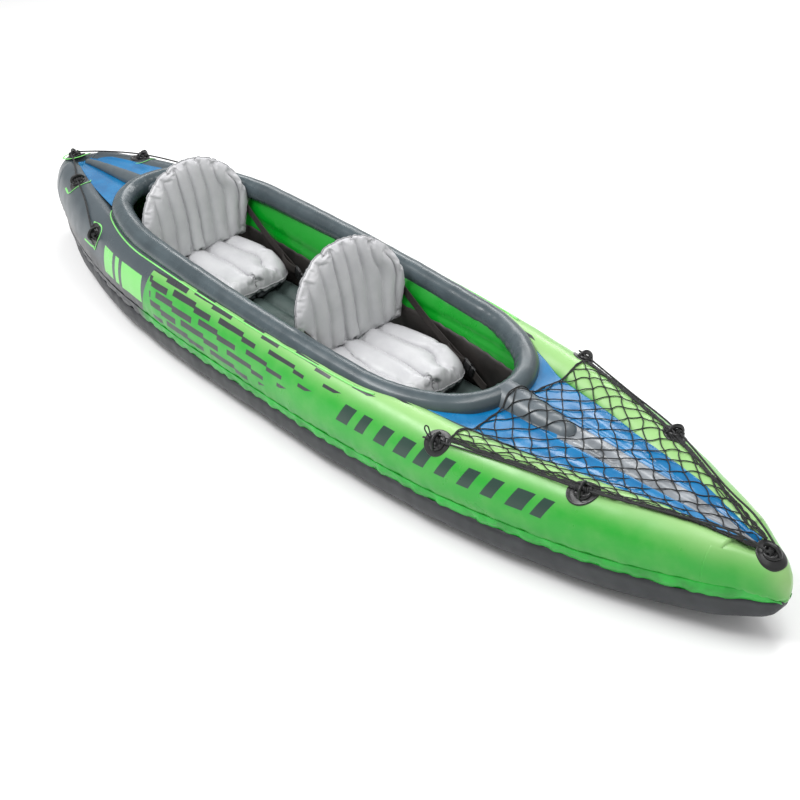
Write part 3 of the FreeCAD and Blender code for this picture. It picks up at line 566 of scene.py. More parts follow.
def end_cap(sign, name, node, slot):
    """Bow or stern end: the two tubes run together and close with folded vinyl."""
    nose, nose_long = 1.735, 0.020
    tip = nose + nose_long * np.sin(np.linspace(0.12, 1.48, 12))
    xs = np.concatenate([np.linspace(1.572, nose, 46), tip])
    th = turn_about(96)
    out, up = np.sin(th), np.cos(th)
    rows = []
    for x in xs:
        beam, ry, zc, rz = [float(v) for v in lobe(sign * x)]
        t = max(0.0, (x - nose) / nose_long)
        close = math.sqrt(max(0.0, 1 - t * t)) if t > 0 else 1.0
        fold = step(x, 1.60, 1.72)
        swell = 0.0004 + 0.0008 * step(x, 1.58, 1.62) - 0.0012 * step(x, 1.70, 1.75)
        y = out * (ry + swell) + np.sign(out) * (beam - ry) * step(np.abs(out), 0.0, 0.5)
        pleat = fold * 0.0042 * ripple(th * 0.06 + x * 0.25, 0.055, 3) * step(-up, -0.35, 0.4)
        ridge = fold * 0.0030 * ripple(x + 0.02 * out, 0.028, 5) * step(-up, -0.1, 0.6)
        k = 1 + (pleat + ridge) / max(ry, 0.02)
        z = zc + (rz + swell) * up * (0.55 + 0.45 * close)
        deep = 0.030 * (1 - step(x, 1.615, 1.70)) * step(up, 0.0, 0.6)
        z = z - deep * np.exp(-(y / (0.34 * beam)) ** 2)
        rows.append(points(sign * x, y * close * k, z))
    grid = np.array(rows)
    seg = np.linalg.norm(np.diff(grid, axis=1), axis=2)
    around = np.concatenate([np.zeros((len(xs), 1)), np.cumsum(seg, 1)], 1)
    beam, ry = lobe(xs)[:2]
    arc = np.minimum(around, around[:, -1:] + seg[:, :1] - around) - (beam - ry)[:, None]
    piece = loft(name, grid, MAT["side"], slot, arc=np.maximum(arc, -0.045))
    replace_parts(piece, node)


end_cap(1, "bow_cone_skin", "bow_cone", "side_green")
end_cap(-1, "stern_cone_skin", "stern_cone", "stern_grey")


def seam_band(side, name):
    """Welded strip over the joint of side and bottom, puckered, with an uneven lower edge."""
    x = np.linspace(-1.742, 1.748, 700)[:, None]
    v = np.linspace(0, 1, 11)[None, :]
    tall = 0.040 - 0.014 * step(-x, 0.7, 1.5) + 0.008 * step(x, 1.2, 1.6)
    hang = 0.006 + 0.0010 * ripple(x, 0.083, side)
    hang = hang + 0.012 * bell(x - 1.47, 0.022) + 0.016 * step(x, 1.60, 1.72)
    fade = 1 - 0.8 * step(np.abs(x), 1.700, 1.740)
    tall, hang = tall * fade, hang * fade
    z = smooth(x, STATION, SEAM) + tall - (tall + hang) * v
    pucker = 0.0036 * ripple(x + 0.012 * v, 0.074, 1.5 + side) * np.sin(math.pi * v * 0.8) ** 1.5
    lift = (0.0010 + 0.0040 * step(v, 0.0, 0.45) + np.maximum(pucker, -0.0024)) * fade
    grid = points(x, (breadth(x, z) + lift) * side, z)
    shell(name, grid[:, ::side], 0.0016, MAT["band"])


for word, s in SIDES.items():
    seam_band(s, word + "_seam_band")


def bottom_shell():
    """Charcoal bottom: a thin closed skin from seam to seam under the keel."""
    stern, bow, tip = -1.720, 1.725, 0.022
    turn = np.sin(np.linspace(0.12, math.pi / 2, 12))
    x = np.concatenate([(stern - tip * turn)[::-1], np.linspace(stern, bow, 340), bow + tip * turn])[:, None]
    # across: share of the half breadth and share of the height up to the seam
    port = np.array([(1.0, 1.0), (0.998, 0.80), (0.993, 0.60), (0.975, 0.42), (0.945, 0.28), (0.90, 0.16),
                     (0.84, 0.075), (0.76, 0.03), (0.66, 0.008), (0.52, 0.0), (0.36, 0.0), (0.18, 0.0),
                     (0.0, 0.0)])
    a, b = np.vstack([port, (port * [-1, 1])[-2::-1]]).T[:, None]
    seam = smooth(x, STATION, SEAM) + 0.004
    keel = smooth(x, STATION, KEEL)
    edge = breadth(x, seam) + 0.0020
    puff = 0.004 * np.sin(math.pi * np.clip((b - 0.25) / 0.7, 0, 1)) * step(-np.abs(x), -1.6, -1.2)
    crease = 0.0016 * ripple(x + 0.05 * b, 0.06, 2) * step(b, 0.5, 0.95)
    crease = crease + 0.0014 * ripple(x - 0.1 * b, 0.23, 1)
    y = a * edge + np.sign(a) * (puff + crease * np.abs(a) * step(b, 0.02, 0.2))
    past = np.clip(np.maximum(x - bow, stern - x) / tip, 0, 1)
    close = np.minimum(np.sqrt(1 - past ** 2) + 0.01, 1)
    z = np.maximum(keel + (seam - keel) * (1 - (1 - b) * close), 0.0026)
    piece = shell("hull_bottom_skin", points(x, y * close, z), -0.0025, MAT["bottom"], "bottom_charcoal")
    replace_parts(piece, "hull_bottom")


bottom_shell()


# ---- cockpit rim
RIM_RADIUS = 0.038
RIM_BOW, RIM_STERN, RIM_Z, RIM_PITCH = 0.750, -1.120, 0.328, math.radians(2.0)
RIM_ANGLES = np.radians([90, 147, 177, 183, 202, 270])
RIM_GAP = 0.008


def rim_path():
    """The rim's centreline: tangent arcs in one tilted plane, two of their radii solved to close it."""
    turn = points(np.diff(np.sin(RIM_ANGLES)), -np.diff(np.cos(RIM_ANGLES)))
    radius = np.array([0.218, 0.500, 0, 0.900, 0])
    radius[[2, 4]] = np.linalg.solve(turn[[2, 4]].T, [RIM_STERN - RIM_BOW, 0] - radius @ turn)
    half = []
    at = np.array([RIM_BOW, 0.0])
    for a0, a1, r, move in zip(RIM_ANGLES, RIM_ANGLES[1:], radius, turn):
        a = np.linspace(a0, a1, 40, endpoint=False)
        half.append(at + r * points(np.sin(a) - math.sin(a0), math.cos(a0) - np.cos(a)))
        at = at + r * move
    half = np.vstack(half + [at])
    x, y = np.vstack([half, (half * [1, -1])[-2:0:-1]]).T
    c, s = math.cos(RIM_PITCH), math.sin(RIM_PITCH)
    return resample(points(x * c, y, RIM_Z - x * s), RIM_GAP, True)


def coaming(path, side, top):
    a = turn_about(40)
    s = np.arange(len(path))[:, None] * RIM_GAP
    bend = np.linalg.norm(np.roll(path, -6, 0) - 2 * path + np.roll(path, 6, 0), axis=1)[:, None] / 0.0023
    # puckers on the inside of the tight ends; a flat weld line below on the outside
    inward = step(-np.cos(a)[None, :], 0.2, 0.9)
    pucker = -0.0013 * inward * np.clip(bend, 0, 3) * (0.5 + 0.5 * ripple(s, 0.040, 2))
    slow = 0.0005 * ripple(s, 0.27, 1) + 0.0004 * ripple(s, 0.11, 3)
    line = -0.0012 * (bell(a - math.radians(62), 0.06) + bell(a - math.radians(84), 0.045))[None, :]
    r = RIM_RADIUS + pucker + slow + line
    ring = side[:, None] * np.cos(a)[None, :, None] + top[:, None] * np.sin(a)[None, :, None]
    grid = path[:, None] + ring * r[:, :, None]
    piece = loft("coaming_skin", grid, MAT["coaming"], "coaming_slate", closed=True)
    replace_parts(piece, "coaming_ring")


rim = rim_path()
rim_side, rim_top = path_frames(rim, True)
coaming(rim, rim_side, rim_top)


def rim_piping(word, s):
    """Lime welt where the rim meets a side tube, from the stern to midships."""
    aft, fore, from_rim, radius = -1.05, 0.50, 0.0455, 0.0030
    keep = [(p, q) for p, q in zip(rim, rim_side) if s * p[1] > 0.05 and aft < p[0] < fore]
    keep.sort(key=lambda e: e[0][0])
    pts = []
    for p, q in keep:
        out = np.array([q[0], q[1], 0.0])
        if out[1] * s < 0:
            out = -out
        at = p + out / np.linalg.norm(out) * from_rim
        pts.append((at[0], at[1], float(tube_top(at[0], at[1])) + ON_SKIN))
    tube(word + "_rim_piping", resample(pts, 0.012), radius, MAT["lime"])


for word, s in SIDES.items():
    rim_piping(word, s)


# ---- floor and inner walls
def floor_skin():
    """Air floor: five broad lengthwise lobes, puckered along the welds."""
    x = np.linspace(-1.095, 0.765, 250)[:, None]
    y = np.linspace(-1, 1, 101)[None, :] * (smooth(x, FLOOR_X, FLOOR_HALF) - 0.001)
    width, r, top, under = 0.072, 0.045, 0.118, 0.020
    u = (y + 0.18) / width
    into = np.abs(u - np.floor(u) - 0.5) * 2
    z = top - r + np.sqrt(np.maximum(r * r - (into * width / 2) ** 2, 0))
    z = z + 0.0013 * ripple(x, 0.07, np.floor(u)) * into ** 2
    grid = np.concatenate([points(x, y, z), points(x, y, under)[:, ::-1]], 1)
    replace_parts(loft("floor_skin", grid, MAT["floor"], "floor_slate"), "floor_chamber")


def floor_skirt(side, name):
    """Dark sheet from the tube's inner wall down to the edge of the floor, in loose folds."""
    x = np.linspace(-1.06, 0.735, 240)[:, None]
    v = np.linspace(0, 1, 13)[None, :]
    zlow, clear = 0.088, 0.0022
    ztop = 0.236 + 0.012 * np.sin(x * 4.2 + 0.8) + 0.002 * ripple(x, 0.06, side)
    ytop = breadth(x, ztop, -1) - clear
    ylow = smooth(x, FLOOR_X, FLOOR_HALF) + 0.003
    z = ztop + (zlow - ztop) * v
    y = ytop + (ylow - ytop) * v
    wall = breadth(x, z, -1) - clear
    y = y + 0.5 * (np.minimum(wall, y + 0.010) - y)
    y = y - 0.0018 * ripple(x + 0.05 * v, 0.08, 2 + side) * np.sin(math.pi * v)
    shell(name, points(x, np.minimum(y, wall) * side, z)[:, ::-side], SHEET, MAT["skirt"])


floor_skin()
for word, s in SIDES.items():
    floor_skirt(s, word + "_floor_skirt")


# ---- decks
WEDGE_X, WEDGE_LONG, WEDGE_END, WEDGE_Z = 0.790, 0.195, 0.985, 0.282
WEDGE_FAT, WEDGE_TAPER = 0.058, 0.022


def rim_reach(y, fore):
    """How far fore or aft the rim's centreline is at a distance y from the middle."""
    keep = rim[(rim[:, 1] >= 0) & ((rim[:, 0] > 0.45) if fore else (rim[:, 0] < -0.75))]
    keep = keep[np.argsort(keep[:, 1])]
    return np.interp(np.abs(y), keep[:, 1], keep[:, 0])


def deck_edge(v, fore):
    """Where a deck skin ends under the rim, across the boat."""
    xs, hs, begin, near, far = (DECK_X, DECK_HALF, 0.70, 0.600, 0.760) if fore else \
        (REAR_X, REAR_HALF, -1.05, -1.130, -0.985)
    start = np.full(v.shape, begin)
    for _ in range(40):
        start = 0.5 * start + 0.5 * np.clip(rim_reach(v * smooth(start, xs, hs), fore), near, far)
    return start


def deck_surface(x, y, fore):
    """Height of a deck skin: a flat middle, lying on the tubes at its edges."""
    xs, zs, hs = (DECK_X, DECK_Z, DECK_HALF) if fore else (REAR_X, REAR_Z, REAR_HALF)
    z = smooth(x, xs, zs) + 0.0035
    half = smooth(x, xs, hs)
    edge = tube_top(x, half) + ON_SKIN
    t = np.clip(np.abs(y) / np.maximum(half, 0.01), 0, 1)
    return z + (np.maximum(edge, z) - z) * t ** 3


def lay_deck(name, grid, mat, cad, attrs=None):
    piece = shell(name, grid[:, ::-1], SHEET, mat, "deck_blue", attrs)
    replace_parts(piece, *cad)


def foredeck():
    v = np.linspace(-1, 1, 121)[None, :]
    start = deck_edge(v, True)
    x = start + (1.648 - start) * np.linspace(0, 1, 255)[:, None]
    half = smooth(x, DECK_X, DECK_HALF) + 0.004
    y = v * half
    z = deck_surface(x, y, True)
    strip = smooth(x, DECK_X, STRIP_HALF)
    off = np.abs(y) - strip
    # shallow folds beside the strip and slack ripples running to the bow
    z = z + 0.0030 * bell(off - 0.010, 0.010) - 0.0034 * bell(off, 0.005)
    slack = step(x, 0.85, 1.05) * (1 - np.abs(v) ** 4)
    z = z + slack * (0.0020 * ripple(y / np.maximum(half, 0.02) * 0.11 + 0.02 * np.sin(x * 5), 0.05, 1.3))
    z = z + 0.0016 * ripple(x + 0.4 * y, 0.16, 2.2) * (1 - np.abs(v) ** 6)
    mask = np.where(x < 0.99, -0.01, -off)
    lay_deck("foredeck_skin", points(x, y, z), MAT["foredeck"],
             ("foredeck_panel", "foredeck_strip"), {"strip": mask[:, ::-1]})


def reardeck():
    v = np.linspace(-1, 1, 81)[None, :]
    x = -1.604 + (deck_edge(v, False) + 1.604) * np.linspace(0, 1, 140)[:, None]
    half = smooth(x, REAR_X, REAR_HALF) + 0.004
    y = v * half
    z = deck_surface(x, y, False)
    z = z + 0.0012 * ripple(y / np.maximum(half, 0.02) * 0.1, 0.06, 1.3) * (1 - np.abs(v) ** 4)
    lay_deck("reardeck_skin", points(x, y, z), MAT["reardeck"], ("reardeck_panel",))


def air_wedge():
    """Grey air tube behind the strip, with a rounded nose and a welded edge."""
    nose = 0.036
    tip = WEDGE_END + nose * np.sin(np.linspace(0.06, 1.50, 16))
    rows = []
    th = turn_about(48)
    for x in [*np.linspace(0.748, WEDGE_END, 60), *tip]:
        r = WEDGE_FAT - WEDGE_TAPER * min((x - WEDGE_X) / WEDGE_LONG, 1.0)
        r = r * math.sqrt(max(0.0, 1 - max(0.0, (x - WEDGE_END) / nose) ** 2))
        base = float(deck_surface(x, 0.0, True)) + 0.001
        z = WEDGE_Z + r * np.cos(th) + 0.0006 * ripple(x + 0.01 * th, 0.05, 1)
        y = r * np.sin(th) * 1.02
        reach = math.sqrt(max(r * r - (base - WEDGE_Z) ** 2, 0)) + 0.004
        y = np.where(z < base, np.sign(y) * np.minimum(np.abs(y), reach), y)
        rows.append(points(x, y, np.where(z < base, base - 0.0006, z)))
    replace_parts(loft("foredeck_wedge_skin", np.array(rows), MAT["grey"], "deck_grey"), "foredeck_wedge")


def air_beam():
    """Tapered air beam down the middle of the rear deck."""
    start, end, fat, thin = -1.078, -1.592, 0.036, 0.012
    rows = []
    th = turn_about(44)
    for x in np.linspace(start, end, 90):
        t = (start - x) / (start - end)
        r = fat * (1 - t) + thin * t
        r = r * math.sqrt(max(0.0, 1 - max(0.0, (t - 0.955) / 0.045) ** 2) + 1e-4)
        base = float(deck_surface(x, 0.0, False))
        z = base + 0.15 * r + r * np.cos(th) + 0.0006 * ripple(x + 0.01 * th, 0.06, 1)
        rows.append(points(x, r * np.sin(th) * 1.1, np.maximum(z, base + 0.0004)))
    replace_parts(loft("reardeck_beam_skin", np.array(rows), MAT["beam"], "deck_grey"), "reardeck_beam")


foredeck()
reardeck()
air_wedge()
air_beam()


# ---- fittings and cords
def on_tube(x, y):
    """Point and normal on a side tube's upper skin."""
    beam, ry, zc, rz = [float(v) for v in lobe(x)]
    z = float(tube_top(x, y))
    n = Vector((0, (abs(y) - beam + ry) / ry ** 2 * (1 if y > 0 else -1), (z - zc) / rz ** 2)).normalized()
    return Vector((x, y, z)), n


def seat_matrix(at, normal, along):
    z = Vector(normal).normalized()
    y = z.cross(Vector(along)).normalized()
    return axes_matrix(y.cross(z), y, z, at)


EYE_HIGH = 0.011           # middle of a fitting's bridge over the skin
EDGE_CORD, THIN_CORD = 0.0029, 0.0021    # radii
SITES = {}                 # fitting: its place, its normal and the way its bridge runs
for end, spots in (("bow", ((0.785, 0.300, 0.44, 0.114), (1.225, 0.186, 0.905, 0.3))),
                   ("stern", ((-1.050, 0.292, -0.350, 0.146), (-1.400, 0.146, -0.350, 0.146)))):
    for k, (x, y, ahead, across) in enumerate(spots):
        for word, s in SIDES.items():
            SITES["%s_fitting_%s_%d" % (end, word, k + 1)] = (*on_tube(x, s * y), (ahead, -s * across, 0))
for name, x, tilt in (("bow_fitting_tip", 1.690, 0.16), ("stern_fitting_tip", -1.680, -0.2)):
    top = float(smooth(x, STATION, SHEER)) - 0.001
    SITES[name] = (Vector((x, 0, top)), Vector((tilt, 0, 1)), (0, 1, 0))


def fitting_parts():
    """A dished disc and a moulded bridge over it, with a rib on each side."""
    profile = table((0.5, -4), (25.5, -4), (26.2, 2.6), (25.2, 5.2), (22.5, 7.2), (17, 8), (9, 7.4), (0.5, 7.2))
    legs = table((0, -22.5, 4), (0, -20.5, 12), (0, -12.5, 20.5), (0, 0, 23.2), (0, 12.5, 20.5), (0, 20.5, 12),
                 (0, 22.5, 4))
    parts = [solid_grid(lathe(profile, 56)), arch(legs, 0.0072, 14, 0.62)]
    for s in (-1, 1):
        rib = table((-16, s * 17, 7), (-6, s * 18, 11.5), (6, s * 18, 11.5), (16, s * 17, 7))
        parts.append(arch(rib, 0.0026, 10))
    return parts


def patch(at, tip):
    """Round vinyl patch following the skin below it, with a rolled rim."""
    rows = []
    th = turn_about(64)
    for radius, lift in table((41.0, -1.0), (41.2, 1.4), (39.8, 2.8), (37.6, 3.0), (35.2, 1.8), (29.0, 1.6),
                              (15.0, 1.6), (1.0, 1.6)):
        b = radius * np.sin(th)
        x = at.x + radius * np.cos(th)
        beam, ry, zc, rz = lobe(x)
        if tip:
            y = b
            z = smooth(x, STATION, SHEER) + 0.0008
            flat = np.clip(1 - (y / np.maximum(beam, 0.03)) ** 2, 0.05, 1)
            z = zc + (z - zc) * np.sqrt(flat) + lift + 0.0012
        else:
            beam0, ry0, _, rz0 = [float(v) for v in lobe(at.x)]
            around = math.asin(max(-1.0, min(1.0, (abs(at.y) - beam0 + ry0) / ry0)))
            turn = around + b / math.hypot(ry0 * math.cos(around), rz0 * math.sin(around))
            y = math.copysign(1.0, at.y) * (beam - ry + (ry + lift) * np.sin(turn))
            z = zc + (rz + lift) * np.cos(turn)
        rows.append(points(x, y, z))
    grid = np.array(rows)
    return solid_grid(grid if at.y > 0 or tip else grid[:, ::-1])


def knot(turns, radius):
    """A few tight turns of cord, as a whipping about local X."""
    per_turn, long = 14, 0.013
    count = turns * per_turn
    t = np.arange(count + 1)
    a = TAU * t / per_turn
    line = points(-long / 2 + long * t / count, radius * np.cos(a), EYE_HIGH + radius * np.sin(a))
    return [strand(line, THIN_CORD, 8)]


for name, (at, n, along) in SITES.items():
    m = seat_matrix(at - n * 0.0006, n, along)
    piece = joined(name + "_moulding", place(fitting_parts(), m) + [patch(at, "tip" in name)], MAT["black"],
                   "fitting_black")
    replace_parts(piece, name)
    parts = place(knot(3, 0.0062), m @ Matrix.Translation((-0.014, 0.0, 0.0)))
    parts += place(knot(2, 0.0058), m @ Matrix.Translation((0.015, 0.001, -0.001)))
    joined(name + "_knot", parts, MAT["cord"])


def eye(name, *shift):
    """Middle of a fitting's bridge, where the cord runs, or a point near it."""
    at, n, _ = SITES[name]
    return at + n * EYE_HIGH + Vector(shift or (0, 0, 0))


def over_tube(x, y, lift):
    return Vector((x, y, float(tube_top(x, y)) + lift))


def perimeter_cord(line, name, node):
    """Edge cord held by the fittings, one half mirrored to the other side."""
    half = spline([tuple(p) for p in line], 14)
    full = np.vstack([half * [1, -1, 1], half[::-1]])
    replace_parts(tube(name, resample(full, 0.006), EDGE_CORD, MAT["cord"], "cord_black", sides=12), node)


def cord_tail(name, base, height):
    """Loop of spare cord standing up from a knot."""
    loop = [(0, 0, 0), (-0.006, -0.004, 0.35), (-0.016, -0.005, 0.75), (-0.017, -0.001, 1.0),
            (-0.011, 0.003, 0.94), (-0.007, 0.004, 0.6), (0.002, 0.003, 0.05)]
    loop = [tuple(base + Vector((x, y, z * height))) for x, y, z in loop]
    tube(name, spline(loop, 10), THIN_CORD, MAT["cord"])


cord_tail("bow_cord_tail", eye("bow_fitting_starboard_1", -0.014, -0.006, 0.002), 0.036)
perimeter_cord([eye("bow_fitting_port_1", -0.040, 0.010, -0.003), eye("bow_fitting_port_1"),
                over_tube(1.005, 0.246, 0.0075), eye("bow_fitting_port_2"), over_tube(1.47, 0.090, 0.010),
                Vector((1.600, 0.045, 0.312)), eye("bow_fitting_tip", 0, 0.014, 0), eye("bow_fitting_tip")],
               "deck_edge_cord", "deck_cord")
perimeter_cord([eye("stern_fitting_port_1", 0.040, 0.016, 0.001), eye("stern_fitting_port_1"),
                over_tube(-1.225, 0.219, 0.008), eye("stern_fitting_port_2"), over_tube(-1.55, 0.072, 0.010),
                eye("stern_fitting_tip", 0, 0.014, 0), eye("stern_fitting_tip")],
               "stern_grab_cord", "stern_line")


# ---- cargo net
NET_EDGE_X = table(785, 1005, 1225, 1470, 1600, 1690)
NET_EDGE_Y = table(292, 240, 180, 86, 42, 14)
NET_CORD, NET_BUNCH, NET_HEM = 0.00165, 0.0014, 0.0019    # radii


def net_half(x):
    return smooth(x, NET_EDGE_X, NET_EDGE_Y)


def net_aft(y):
    """Where the net's aft edge runs, a slack line between the two aft fittings."""
    return 0.803 - 0.012 * np.cos(np.clip(np.abs(y) / 0.29, 0, 1) * math.pi)


def net_ground(x, y):
    """Height of what the net lies on."""
    x = np.asarray(x, float)
    deck = deck_surface(x, y, True)
    z = np.where(np.abs(y) > smooth(x, DECK_X, DECK_HALF), np.maximum(tube_top(x, y), deck - 0.003), deck)
    r = WEDGE_FAT - WEDGE_TAPER * np.clip((x - WEDGE_X) / WEDGE_LONG, 0, 1)
    close = np.clip(1 - (np.maximum(x - WEDGE_END, 0) / 0.040) ** 2, 0, 1)
    hump = WEDGE_Z + np.sqrt(np.maximum(r * r - y * y, 0)) * np.sqrt(close)
    return np.where((np.abs(y) < r) & (x < WEDGE_END + 0.040), np.maximum(z, hump), z)


def net_drape(x, y):
    """The net spans hollows: a little above the mean of what is near."""
    near = sum(net_ground(x + dx, y + dy) for dx, dy in ((-0.02, 0), (0.02, 0), (0, -0.018), (0, 0.018))) / 4
    return np.maximum(net_ground(x, y), near) + 0.0034


def net_nodes(rng):
    """The net's knots, on a diamond grid that narrows to the bow."""
    along, across = 0.0335, 0.0295
    nodes = {}
    for i in range(-12, 40):
        for j in range(-12, 40):
            x = 0.782 + (i + j) * along
            if x < 0.73 or x > 1.67:
                continue
            w = float(net_half(x))
            wide = (i - j) * across * (w / 0.29) ** 0.42
            if abs(wide) > 2.1 * w + 0.012:
                continue
            slip = rng.uniform(-0.0048, 0.0048, 2) * min(1.0, 0.3 + w / 0.15)
            y = w * math.sin(max(-1.0, min(1.0, wide / (1.25 * w))) * math.pi / 2 * 0.985) + slip[1]
            nodes[i, j] = (max(x + slip[0], float(net_aft(y))), max(-w, min(w, y)))
    return nodes


def cargo_net():
    shortest, longest = 0.006, 0.075
    rng = np.random.RandomState(11)
    nodes = net_nodes(rng)
    parts = []
    t = np.linspace(0, 1, 7)
    arc = np.sin(math.pi * t)
    for (i, j), a in nodes.items():
        for b in [nodes[k] for k in ((i + 1, j), (i, j + 1)) if k in nodes]:
            size = math.hypot(b[0] - a[0], b[1] - a[1])
            if size < shortest or size > longest:
                continue
            bow = rng.uniform(-0.0045, 0.0045)
            x = a[0] + (b[0] - a[0]) * t + (a[1] - b[1]) / size * bow * arc
            y = a[1] + (b[1] - a[1]) * t + (b[0] - a[0]) / size * bow * arc
            parts.append(strand(points(x, y, net_drape(x, y) + 0.0010 * arc), NET_CORD, 7))
    ball = lathe(table((0.3, -2.6), (2.4, -1.8), (3.4, 0.0), (2.4, 2.0), (0.3, 2.8)), 7)
    for x, y in nodes.values():
        parts.append(solid_grid(ball + np.array([x, y, float(net_drape(x, y))])))
    # bunched strands along the side edges and a slack cord along the aft edge
    for s in (-1, 1):
        for k in range(3):
            x = np.linspace(0.80 + 0.02 * k, 1.655, 150)
            wob = 0.004 * ripple(x, 0.12, k + s) + 0.002 * ripple(x, 0.045, 2 * k)
            y = s * (net_half(x) - 0.004 - 0.0045 * k + wob * step(x, 0.82, 0.95))
            parts.append(strand(points(x, y, net_drape(x, y) + 0.001 * k), NET_BUNCH, 7))
    y = np.linspace(-0.288, 0.288, 120)
    x = net_aft(y) + 0.002 * ripple(y, 0.07, 1)
    parts.append(strand(points(x, y, net_drape(x, y) + 0.0015), NET_HEM, 8))
    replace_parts(joined("cargo_net_cords", parts, MAT["cord"], "net_black"), "cargo_net")


cargo_net()


# ---- seats
CUSHION_LONG, CUSHION_HALF, CUSHION_BASE, CUSHION_TOP = 0.365, 0.168, 0.1192, 0.2225
CUSHION_SPILL = 0.016      # the cushion bulges this far past its rear weld
BACK_HALF, BACK_HIGH = 0.222, 0.322
RECLINE = math.radians(10)
PIVOT_Z, BACK_STEM_Z = 0.2256, 0.2248
PAD_X, COVER_X = -0.0300, -0.0372    # middle of the pad and of its dark cover, behind the pivot
SEATS = {"front": (0.435, 0.030), "rear": (-0.485, 0.080)}    # front edge of the cushion, set-back of the pivot


def nearest(a, b):
    """Distance from each of a to the nearest of b."""
    return np.sqrt(((a[:, None] - b[None]) ** 2).sum(2)).min(1)


def within(p, loop):
    """Which points lie inside a closed loop."""
    x, y = p[:, 0][:, None], p[:, 1][:, None]
    x0, y0 = loop[:, 0], loop[:, 1]
    x1, y1 = np.roll(x0, -1), np.roll(y0, -1)
    hit = ((y0 > y) != (y1 > y)) & (x < (x1 - x0) * (y - y0) / (y1 - y0 + 1e-12) + x0)
    return hit.sum(1) % 2 == 1


